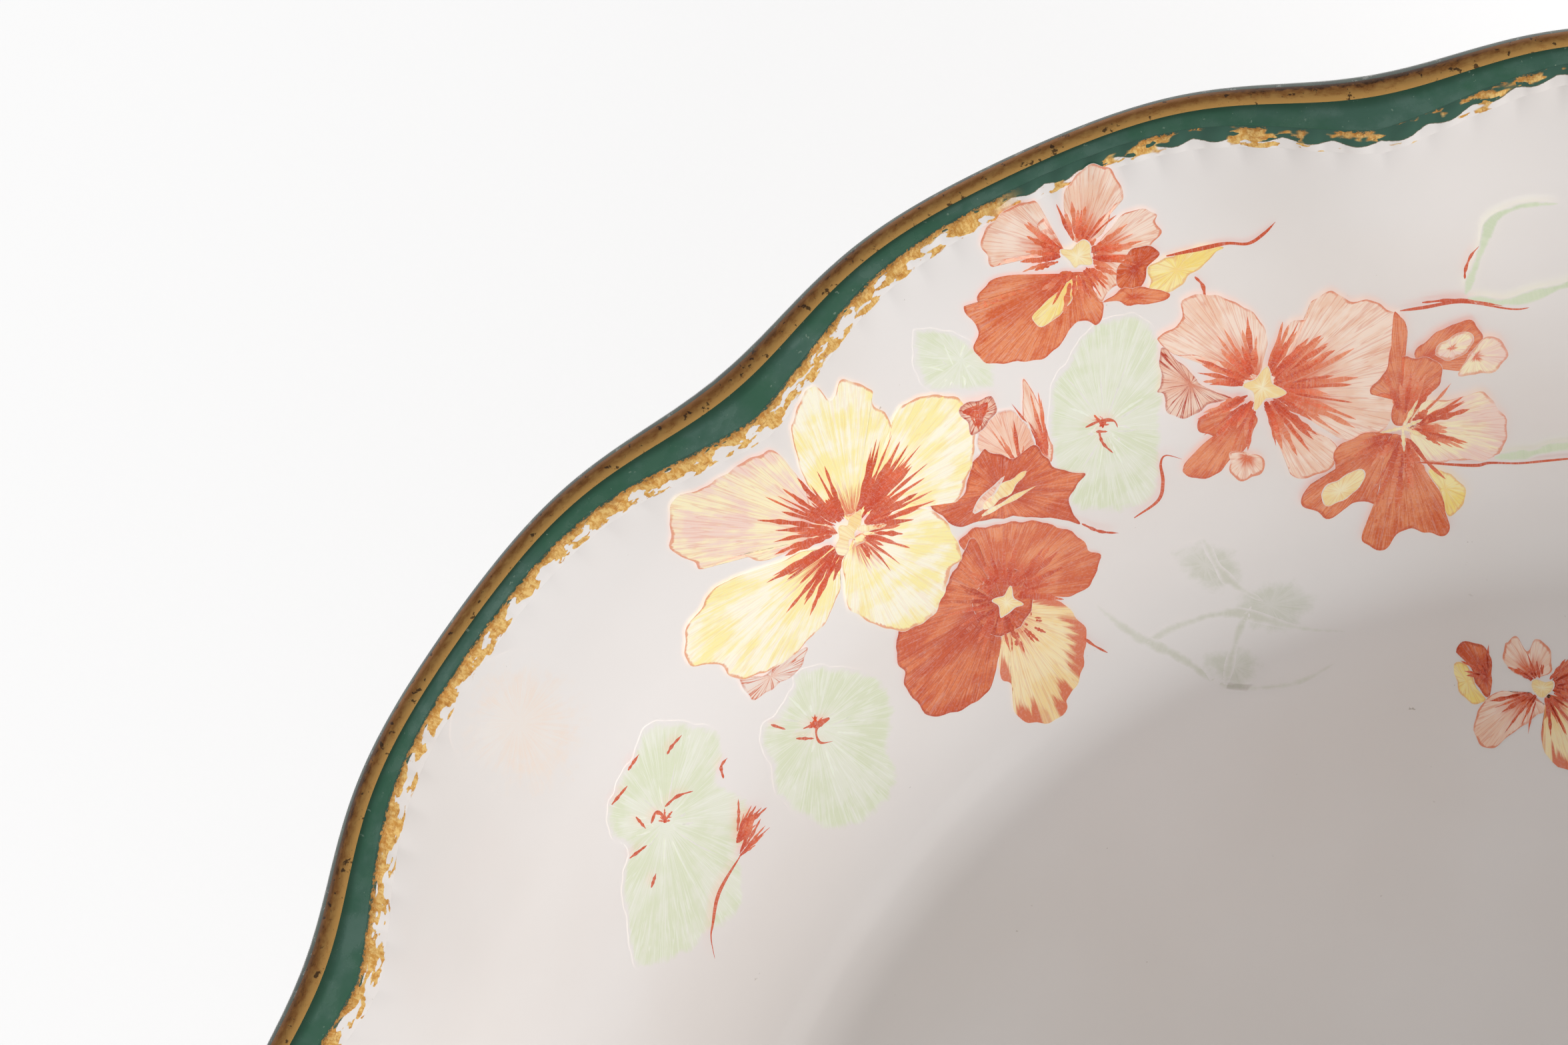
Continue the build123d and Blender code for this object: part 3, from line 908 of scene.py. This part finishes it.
spray.petal("yellow", [(-15.5, 3.5), (-18, 4.5), (-20.5, 5), (-22.5, 5.5), (-25, 6), (-27, 6), (-29, 5),
    (-30.5, 4.5), (-31.5, 3), (-32, 1.5), (-30, 0.5), (-29.5, -1), (-28.5, -2), (-26, -2.5), (-24, -2.5),
    (-22, -2), (-20, -1.5), (-18.5, -0.5), (-17, 1)])
spray.petal("yellow", [(-14, 3.5), (-11.5, 3), (-10, 3.5), (-8.5, 3), (-7, 2), (-6.5, 0.5), (-6.5, -1.5),
    (-7, -3), (-8.5, -3.5), (-10, -5), (-12, -6), (-13.5, -6), (-15, -5.5), (-16, -4.5), (-17, -3),
    (-17.5, -2), (-17.5, -1), (-16.5, 1), (-15.5, 2.5)])
for toward, spread, count in (((-19, 10), 26, 22), ((-5.5, 8), 16, 20), ((-9.5, 0.5), 34, 20),
                              ((-22.5, 1.5), 17, 18), ((-14.5, 10), 14, 10), ((-6, 3.6), 12, 9)):
    spray.fan("flare", (-14, 4), toward, spread, count, 1.2, 0.42)
spray.stroke("throat", [(-15.8, 2.8), (-14.6, 4), (-13.6, 4.4), (-12, 5.4)], 1.4)
spray.stroke("throat", [(-13.4, 4), (-12.2, 3.4), (-10.8, 2.9)], 0.6)
print("layers so far:", spray.layer)

# %% The coral pansy and its bud
spray.petal("pale", [(16, 14.5), (15.5, 15.5), (16, 17), (16.5, 18.5), (17.5, 19.5), (19, 20), (20.5, 20),
    (21.5, 19), (21.5, 17.5), (21.5, 16.5), (21, 16), (20, 16), (19, 15), (18, 14.5), (17, 14.5)])
spray.petal("pale", [(14.5, 15), (14, 16.5), (13.5, 18), (14.5, 18.5), (14.5, 20), (13, 20.5), (11, 20.5),
    (9.5, 20), (8.5, 19), (8.5, 18), (8.5, 17), (10, 17), (11.5, 16), (13.5, 15)])
spray.petal("coral", [(14, 13), (13.5, 13.5), (12, 13.5), (10.5, 15), (8.5, 16), (7, 16), (6, 15.5),
    (5.5, 14.5), (4.5, 15.5), (4.5, 14.5), (4.5, 13), (3.5, 12), (3.5, 10.5), (5, 9.5), (7, 8.5),
    (8.5, 8), (10.5, 8.5), (11.5, 9), (13, 9), (13.5, 8), (14.5, 8.5), (15, 9.5), (15, 11), (15.5, 12),
    (15, 12.5)])
spray.petal("gold", [(12.5, 12), (14.5, 12.5), (13, 12.5), (10.5, 12), (9, 11.5), (9.5, 10.5),
    (11.5, 10.5), (13.5, 11.5), (14, 11.5)])
spray.petal("pale", [(16.5, 13.5), (17.5, 14), (19, 14.5), (20.5, 15), (22, 14.5), (23, 13.5), (22.5, 13),
    (22.5, 12), (21.5, 11.5), (20.5, 11), (18.5, 10), (17.5, 10), (16, 10), (15, 9.5), (15, 10.5),
    (16, 12)])
spray.petal("gold", [(22, 8.5), (20, 10), (21, 10), (23, 9.5), (25, 9), (26.5, 8), (25.5, 8), (24, 7.5),
    (22.5, 7.5), (21, 7), (19, 8), (19.5, 9)])
spray.petal("deep", [(19, 10.5), (21, 11.5), (19.5, 12), (18, 11.5), (17, 10.5), (17, 9.5), (18, 9),
    (19, 9), (20, 10), (21.5, 10.5)])
spray.petal("coral", [(17.5, 8.5), (15, 9.5), (16, 9.5), (17.5, 9.5), (19, 8.5), (20.5, 7), (19, 7),
    (17, 8), (16, 9)])
for toward, spread, count in (((18.5, 18), 22, 14), ((11, 17.5), 20, 16), ((12, 10.5), 26, 12),
                              ((20.5, 12), 18, 14), ((16.5, 10), 16, 8)):
    spray.fan("warm", (15, 14), toward, spread, count, 1.2, 0.42, "flare")
spray.petal("throat", [(15.2, 14), (14.2, 15.2), (15.2, 14.9), (16.4, 15), (16.6, 14), (16, 12.8),
    (15, 13.2), (14.4, 13.4)])
spray.stroke("line", [(21.8, 10), (24.6, 9), (26.8, 8.2), (28.4, 7.2), (30, 7.2), (31.6, 7.6)], 0.34)
spray.stroke("line", [(23, 7.2), (23.2, 6.2), (22.8, 5.2), (22.2, 4.6)], 0.3)
print("layers so far:", spray.layer)

# %% The pink pansies
spray.petal("pale", [(23, -3.5), (22.5, -2), (21, 0), (19.5, 1.5), (18, 2.5), (17.5, 4), (17.5, 4.5),
    (18.5, 4.5), (20, 4.5), (21, 6), (23, 5.5), (24.5, 4), (25.5, 2.5), (26, 0.5), (25.5, -1), (24.5, -2),
    (23.5, -3)])
spray.petal("hatch", [(18, -0.5), (17.5, 3.5), (18, 2), (18.5, 0.5), (19, -1.5), (20.5, -3.5), (19, -3),
    (17, -3), (15.5, -2.5), (15, -1.5), (15.5, 0), (15, 0.5), (16, 1), (16.5, 2.5)])
spray.petal("pale", [(23.5, -5), (25, -3.5), (27, -3.5), (27.5, -2.5), (27.5, -1), (28.5, -0.5),
    (29.5, -1), (30.5, 0), (32.5, 0), (33, -1), (34, -2), (35, -2.5), (36, -4), (36.5, -5.5), (35.5, -7),
    (34.5, -9), (33, -11), (32, -12), (30, -13), (28, -12.5), (26.5, -11), (25.5, -8)])
spray.petal("pale", [(22.5, -5.5), (23, -7.5), (24, -9), (26, -11), (26, -12.5), (24.5, -13.5),
    (23.5, -13), (22.5, -13), (21.5, -12), (22, -10.5), (22, -8)])
spray.petal("coral", [(21.5, -5), (20, -4.5), (18.5, -4), (17, -3.5), (16.5, -4.5), (17.5, -5.5),
    (16.5, -5.5), (14.5, -6), (13.5, -6.5), (13.5, -7), (14.5, -8), (16, -8.5), (17.5, -8), (19, -8),
    (20.5, -7), (21.5, -6)])
spray.petal("pale", [(19, -8.5), (19, -8), (20, -9), (20, -10), (19, -10.5), (17.5, -10), (17, -9),
    (17.5, -8), (18, -7.5)])
for toward, spread, count in (((21.5, 2.5), 30, 22), ((30, -2.5), 18, 18), ((30.5, -9), 26, 18),
                              ((23.5, -11), 14, 8), ((17, -6), 24, 14)):
    spray.fan("warm", (23, -4), toward, spread, count + 6, 1.2, 0.5, "flare")
spray.petal("throat", [(23.2, -4), (21.8, -3), (23, -3), (24.6, -2.6), (24.2, -4), (24.8, -5.6),
    (23, -5.2), (21.6, -5.4), (22.2, -4.2)])
spray.petal("coral", [(36, -9.5), (36, -8.5), (38, -8), (39.5, -8), (41.5, -8.5), (42, -10), (41.5, -11),
    (40.5, -11.5), (39, -12), (37.5, -11), (36.5, -10.5)])
spray.petal("blush", [(39, -9.8), (37.6, -9.4), (39, -8.9), (40.8, -9.2), (41, -10.4), (39.6, -10.8),
    (38, -10.4)])
spray.petal("blush", [(40.5, -11.5), (42, -10.5), (43, -11.5), (43, -13), (41, -13.5), (40, -13),
    (38.5, -12)])
spray.petal("coral", [(33, -11.5), (36.5, -4.5), (36.5, -6.5), (35, -8), (35.5, -8.5), (37, -9.5),
    (37.5, -11), (36.5, -12), (34.5, -12.5), (34, -13.5), (32.5, -13.5), (31.5, -13), (32, -11.5),
    (33, -11), (32, -10), (31, -9.5), (31.5, -9), (33, -8.5), (34.5, -7), (35.5, -5.5)])
spray.petal("blush", [(32.5, -13.5), (34.5, -12.5), (36.5, -13.5), (38, -14), (39.5, -14.5), (40, -16),
    (40, -18), (39, -19.5), (37, -20), (35.5, -19), (33.5, -18), (32, -17), (32, -15.5)])
spray.petal("gold", [(32.5, -20), (32, -18), (33.5, -19), (34, -21), (33.5, -22), (32, -22.5),
    (31.5, -22), (32, -20)])
spray.petal("coral", [(31, -13.5), (29.5, -12.5), (27.5, -12), (26, -12), (24.5, -14), (22.5, -13.5),
    (21, -14.5), (21.5, -15.5), (22.5, -17), (24, -17), (25.5, -17), (26.5, -18), (27.5, -16.5),
    (29, -15)])
spray.petal("throat", [(24.5, -15.4), (23, -14.6), (24.6, -14.4), (26.8, -14.6), (27, -15.6), (25, -16.2),
    (23, -16)])
spray.petal("coral", [(31.5, -14), (31, -13.5), (29.5, -14.5), (28, -16.5), (27, -18), (26, -19.5),
    (24.5, -19.5), (24, -20.5), (25, -22), (26.5, -21.5), (28, -21.5), (29, -22.5), (30, -23.5),
    (31, -23.5), (31.5, -22), (32, -20), (31.5, -18), (31.5, -16.5), (32, -15)])
for toward, spread, count in (((35.5, -9.5), 24, 12), ((37.5, -16), 24, 20), ((29, -20), 22, 16),
                              ((27, -14.5), 16, 10)):
    spray.fan("warm", (32, -13.5), toward, spread, count, 1.0, 0.46, "flare")
for toward in ((34.5, -12), (33.5, -15.5), (34, -13.8), (31, -15.5), (30, -12.8)):
    spray.stroke("throat", [(32, -13.5), tuple((np.array((32, -13.5)) + toward) / 2), toward], 0.35)
print("layers so far:", spray.layer)

# %% Vines, contours and small marks
LINES = (
    [(36.8, -4.6), (38.6, -5.4), (41.8, -6.8), (45.2, -9.6), (46.8, -10.4)],
    [(38.8, -5), (41.8, -6.6), (45.2, -9.4)],
    [(31.6, -16.8), (35.6, -19.6), (37, -20.2), (39.2, -21.6), (42, -23), (46, -25)],
    [(43, -5.2), (43.4, -4.6), (44.4, -3.8), (45.6, -3.4)],
    [(3.6, -5.8), (4.6, -7.2), (6.2, -8.4)],
    [(-1.4, -14.6), (-1, -15.6), (-0.2, -17)],
    [(7.8, -7.8), (10.4, -7.6), (11.6, -6.4), (12.2, -5), (13, -4.6), (14.2, -5.8)],
    [(8.2, 1.2), (9.6, 1), (10.6, 0.4), (10.6, -0.4)],
    [(8.8, 0.4), (9.8, -0.2)],
    [(9, 0.2), (8.8, -0.8), (9.2, -2.2)],
    [(-26.6, -8.2), (-24.2, -8.6), (-25.6, -8.8), (-26, -10), (-24.8, -10.6)],
    [(-27.6, -8.6), (-26, -9.6)],
    [(-28.8, -6.4), (-27.8, -7.6)],
    [(-37.2, -14.8), (-39.6, -16), (-41, -17), (-42.4, -18.6), (-43.2, -19.6), (-44, -21.6)],
    [(-40.4, -7.6), (-39, -7.4), (-37.4, -7.8)],
    [(-43, -7), (-42.8, -8.6)],
    [(-45.4, -9.8), (-43.2, -9.6)],
    [(-44.2, -5), (-41.8, -4.2)],
    [(-41.4, -3.2), (-39.6, -2.4)],
    [(-37.8, -3.8), (-37, -3.4), (-35.6, -3)],
    [(-34.8, -8.2), (-34.4, -7.2), (-33.4, -6.8)],
    [(-42.2, -8.2), (-41.2, -7.6), (-40.8, -9)],
    [(-45.2, -13), (-44, -12)],
)
for line in LINES:
    spray.stroke("line", line, 0.26)
GREEN_LINES = (
    [(37.6, -20), (40.4, -21.4), (42.4, -22), (46.6, -24)],
    [(42.4, -6.4), (43.8, -5.2), (46, -3.4), (47.6, -2.2), (50.2, -2.4), (53.6, -4.2)],
    [(42.4, -6.8), (45.4, -9), (49.8, -10.2), (53.2, -11.2)],
)
for line in GREEN_LINES:
    spray.stroke("green_line", line, 0.9)
spray.petal("hatch", [(0.8, 7), (0, 8.5), (1, 8.2), (2.6, 7.8), (2.2, 6.4), (0.6, 5.8), (-0.6, 5.8),
    (-0.5, 6.8), (-0.5, 8)])
for heart, toward in (((0, 5.8), (1.4, 8.2)), ((2.2, 7.6), (-0.6, 6.6)), ((-0.4, 8), (1.8, 6.6)),
                      ((-36.6, -13.2), (-33.4, -11.4)), ((-37.4, -14.8), (-33.4, -13.2)),
                      ((-37, -13.6), (-34.6, -12.6))):
    spray.fan("flare", heart, toward, 16, 7, 0.1, 0.3)
print("the spray has", len(spray.faces), "faces in", spray.layer, "layers")

# %% [markdown]
# ## Laying the drawings on the bowl
# Seen from above, a point of the drawing has a radius and an angle; a table of the section
# gives the place on the wall with that radius, and the lobes' pull is undone by repeating
# the search a few times.  A Shrinkwrap modifier could do this too, but the formula keeps each
# layer at its own height.

# %% Placing
SPRAY_COUNT = 3
SPRAY_TURN = math.radians(127.0)
SPRAY_RADIUS = 97.0
ALONG_TABLE = np.linspace(0, 1, 800)
RADIUS_TABLE = wall_station(ALONG_TABLE, 1, 0.0)[0]
SHARE_TABLE = wall_station(ALONG_TABLE, 1, 0.0)[2]


def on_inner_wall(points, lift, turn):
    """Points of a drawing laid on the wall, or on the floor where they reach it."""
    out = np.array([math.cos(SPRAY_TURN), math.sin(SPRAY_TURN)])
    side = np.array([out[1], -out[0]])
    plan = out * (SPRAY_RADIUS + points[:, 1:]) + side * points[:, :1]
    radius, angle = np.hypot(plan[:, 0], plan[:, 1]), np.arctan2(plan[:, 1], plan[:, 0])
    along = np.interp(radius, RADIUS_TABLE, ALONG_TABLE)
    for repeat in range(5):
        pull = np.interp(along, ALONG_TABLE, SHARE_TABLE) * NOTCH_DEPTH * notch(angle)
        along = np.interp(radius + pull, RADIUS_TABLE, ALONG_TABLE)
    raised = lift + np.maximum(ripple((1 - along) * WALL_SPEED, angle), 0)
    places = turned(wall_station(along, 1, raised), angle + turn)
    level = radius < RADIUS_TABLE[0]
    flat = np.stack([radius * np.cos(angle + turn), radius * np.sin(angle + turn),
                     FLOOR_TOP + lift], -1)
    return np.where(level[:, None], flat, places)


def lay(drawing, name, node, places):
    """Make a drawing's mesh.  It throws no shadow, as ink lies in the glaze, not above it."""
    inks = [(label, "FLOAT_COLOR", np.concatenate(rows)) for label, rows in drawing.inks.items()]
    attributes = inks + [("reach", "FLOAT", np.concatenate(drawing.reach)),
                         ("print_place", "FLOAT_VECTOR", np.concatenate(drawing.place)),
                         ("manner", "FLOAT_VECTOR", np.concatenate(drawing.manner)),
                         ("spread", "FLOAT_VECTOR", np.concatenate(drawing.spread))]
    piece = new_piece(name, places, drawing.faces, TRANSFER, attributes)
    piece.visible_shadow = False
    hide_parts(node)


flat_points, flat_lift = np.concatenate(spray.points), np.concatenate(spray.lift)
for number in range(SPRAY_COUNT):
    turn = number * 2 * math.pi / SPRAY_COUNT
    lay(spray, f"printed_spray_{number + 1}", f"inner_spray_{number + 1}",
        on_inner_wall(flat_points, flat_lift, turn))
print("laid", SPRAY_COUNT, "sprays inside")

# %% [markdown]
# ## The small sprigs
# The outside of the wall and the floor carry single flowers from the same sheet.  They could
# be cut out of the big spray, but these are other flowers, so they have drawings of their own.

# %% The sprig for the outside
sprig = Drawing(SEED + 1)
sprig.petal("leaf", [(-9, -3), (-14, -6), (-17, -3), (-17, 2), (-13, 5), (-8, 4), (-5, 0), (-7, -5)])
sprig.petal("leaf", [(10, -4), (6, -1), (8, 2), (13, 1), (16, -3), (14, -7), (9, -8)])
sprig.petal("pale", [(0, 0), (1, 2), (0, 5), (2, 8), (5, 8.5), (7, 6), (6, 3), (3, 1)])
sprig.petal("pale", [(0, 0), (-1, 2), (-1, 6), (-4, 8), (-7, 6), (-7, 3), (-4, 1)])
sprig.petal("coral", [(0, 0), (-2, -0.5), (-6, 0), (-8, -2), (-8, -5), (-5, -6.5), (-2, -4)])
sprig.petal("coral", [(0, 0), (2, -0.5), (6, 0), (8.5, -2), (8, -5), (4, -6), (2, -3)])
sprig.petal("rimmed", [(0, -0.5), (-2, -4), (-4, -7), (-3, -9.5), (0, -10), (3, -9), (4, -6), (2, -3)])
for toward in ((3.5, 6), (-3.5, 5.5), (-6, -3), (6, -3), (0, -7)):
    sprig.fan("flare", (0, 0), toward, 18, 7, 1.0, 0.45)
sprig.petal("throat", [(0, 0), (-1, 1), (0.2, 0.8), (1.3, 0.9), (1, -0.4), (0.2, -1.4), (-1, -0.6)])
sprig.stroke("line", [(4, -9), (9, -11), (14, -10), (18, -12)], 0.5)
sprig.stroke("line", [(-8, 5), (-12, 9), (-17, 9), (-21, 6)], 0.5)
sprig.petal("deep", [(-20, 6), (-18.5, 6.5), (-20, 8), (-22.5, 7), (-23, 5), (-21, 4.5)])
sprig_points, sprig_lift = np.concatenate(sprig.points), np.concatenate(sprig.lift)
print("the sprig has", len(sprig.faces), "faces")

# %% Laying the sprig outside
SPRIG_ALONG = 0.43
SPRIG_TURN = math.radians(119.0)
WALL_LENGTH = 66.0
WALL_RADIUS = 98.0


def on_outer_wall(points, lift, turn):
    """Points of a drawing laid on the outside, wrapped round the axis."""
    along = SPRIG_ALONG + points[:, 1] / WALL_LENGTH
    middle = SPRIG_TURN + turn
    angle = middle + points[:, 0] / WALL_RADIUS
    return turned(wall_station(along, -1, lift), angle)


for number in range(SPRAY_COUNT):
    lay(sprig, f"outside_sprig_{number + 1}", f"outer_spray_{number + 1}",
        on_outer_wall(sprig_points, sprig_lift, number * 2 * math.pi / SPRAY_COUNT))
print("laid", SPRAY_COUNT, "sprigs outside")

# %% A small sprig on the floor
posy = Drawing(SEED + 2)
posy.petal("leaf", [(16, -2), (10, -3), (11, 2), (15, 5), (20, 4), (22, -1), (20, -6), (14, -7)])
posy.petal("deep", [(-5, 0.5), (-7.9, 2.6), (-7, 3.4), (-5.4, 3.2), (-4.6, 1.8), (-4.4, 0), (-4.6, -1.2),
    (-5.6, -0.6), (-6.4, 1.2)])
posy.petal("gold", [(-6.6, 0), (-7.9, 1.6), (-6.6, 1.2), (-5.6, -0.6), (-4.8, -1.6), (-6, -2),
    (-7.4, -0.6)])
posy.petal("pale", [(-1, 1), (-3.4, 3.8), (-2.6, 4.3), (-1.6, 3), (-1, 4.2), (0.4, 3.4), (0.6, 1.4),
    (-1.6, 0.8), (-3.6, 2)])
posy.petal("pale", [(-1, -0.5), (-3.6, -0.6), (-5.6, -3), (-5.2, -5.2), (-4, -5.8), (-2.6, -4.6),
    (-0.8, -3), (0.6, -1.6)])
posy.petal("coral", [(0.5, 0), (1.5, 2), (4.5, 4.5), (7, 4), (7.5, 1), (5, -0.8), (2, -0.6)])
posy.petal("rimmed", [(0.5, -0.5), (2, -1), (5, -1.5), (7, -4.5), (5.5, -7), (1.5, -6.5), (0.3, -3.5)])
for toward in ((-3.5, -3.5), (-2, 3), (4.5, 2), (3.5, -3.5)):
    posy.fan("flare", (0, 0), toward, 22, 9, 0.8, 0.34)
posy.fan("flare", (-4.6, 0.4), (-7, 2.6), 30, 8, 0.4, 0.34)
posy.petal("throat", [(0, 0), (-0.8, 0.7), (0.2, 0.6), (1, 0.7), (0.8, -0.3), (0.2, -1), (-0.8, -0.4)])
posy.stroke("line", [(7, 2), (11, 4), (15, 3.6), (19, 6)], 0.34)
posy_points, posy_lift = np.concatenate(posy.points), np.concatenate(posy.lift)
POSY_HEART = (-10.0, 64.0)
floor_points = np.stack([POSY_HEART[0] + posy_points[:, 0], POSY_HEART[1] + posy_points[:, 1],
                         FLOOR_TOP + posy_lift], -1)
lay(posy, "floor_sprig", "well_sprig", floor_points)
print("laid the floor's sprig,", len(posy.faces), "faces")

# %% [markdown]
# ## Floor, light and camera
# A pale sweep under the bowl, a soft even surround, and two large soft lights low on one
# side: the wall that faces them is bright, while the level floor stays a soft grey.  The
# sweep glows a little, to stay white, but that glow doesn't reach the bowl.  From below it
# is clear, so that the foot can be looked at.

# %% Stage, lights and camera
SENSOR_WIDTH = 36.0
CAMERA_ROLL = math.radians(5.2)
CAMERA_REACH = 106.2
CAMERA_TURN = math.radians(137.0)
CAMERA_DISTANCE = 2500.0
PICTURE_WIDTH = 134.9
FLOOR_GAP = -0.00005


def make_stage():
    """The ground: a square sheet just under the foot."""
    s = Shader("pale_sweep", 0.8)
    s.finish(s.mix(s.cloud(3.0), (0.9, 0.9, 0.905), (0.88, 0.88, 0.885)))
    s.surface.inputs["Emission Color"].default_value = (1.0, 1.0, 1.0, 1.0)
    s.surface.inputs["Emission Strength"].default_value = 0.7
    mixer = s.node("ShaderNodeMixShader")
    s.plug(s.node("ShaderNodeNewGeometry").outputs["Backfacing"], mixer.inputs[0])
    s.plug(s.surface.outputs[0], mixer.inputs[1])
    s.plug(s.node("ShaderNodeBsdfTransparent").outputs[0], mixer.inputs[2])
    s.plug(mixer.outputs[0], s.tree.nodes["Material Output"].inputs["Surface"])
    mesh = bpy.data.meshes.new("pale_floor")
    corners = [(x, y, FLOOR_GAP) for x, y in ((-6, -6), (6, -6), (6, 6), (-6, 6))]
    mesh.from_pydata(corners, [], [(0, 1, 2, 3)])
    mesh.materials.append(s.material)
    sweep = bpy.data.objects.new("pale_floor", mesh)
    bpy.context.collection.objects.link(sweep)
    sweep.visible_diffuse = False


def soft_light(name, turn, elevation, distance, size, power):
    """A large square light that looks at the bowl."""
    light = bpy.data.lights.new(name, "AREA")
    light.size, light.energy = size, power
    lamp = bpy.data.objects.new(name, light)
    bpy.context.collection.objects.link(lamp)
    a, e = math.radians(turn), math.radians(elevation)
    lamp.location = Vector((math.cos(a) * math.cos(e), math.sin(a) * math.cos(e),
                            math.sin(e))) * distance + Vector((0, 0, 0.03))
    lamp.rotation_euler = (-lamp.location).to_track_quat("-Z", "Y").to_euler()
    lamp.visible_camera = False
    lamp.visible_glossy = False


def make_camera():
    """A long lens straight above, turned a little, over one side of the rim."""
    data = bpy.data.cameras.new("camera")
    data.sensor_width = SENSOR_WIDTH
    data.lens = SENSOR_WIDTH * CAMERA_DISTANCE / PICTURE_WIDTH
    data.clip_end = 100.0
    camera = bpy.data.objects.new("camera", data)
    bpy.context.collection.objects.link(camera)
    camera.location = Vector((CAMERA_REACH * math.cos(CAMERA_TURN),
                              CAMERA_REACH * math.sin(CAMERA_TURN),
                              BOWL_HEIGHT + CAMERA_DISTANCE)) * MM
    camera.rotation_euler = (0, 0, CAMERA_ROLL)
    bpy.context.scene.camera = camera


world = bpy.data.worlds.new("soft_surround")
world.use_nodes = True
surround = world.node_tree.nodes["Background"]
surround.inputs["Color"].default_value = (1.0, 0.995, 0.99, 1.0)
surround.inputs["Strength"].default_value = 0.27
bpy.context.scene.world = world
bpy.context.scene.view_settings.view_transform = "Standard"

make_stage()
soft_light("low_window", 330.0, 21.0, 1.4, 0.8, 19.6)
soft_light("side_fill", 265.0, 32.0, 1.5, 0.9, 1.6)
make_camera()
print("lights and camera set")

# %% [markdown]
# ## The end

# %% Done
print("the scene is built")
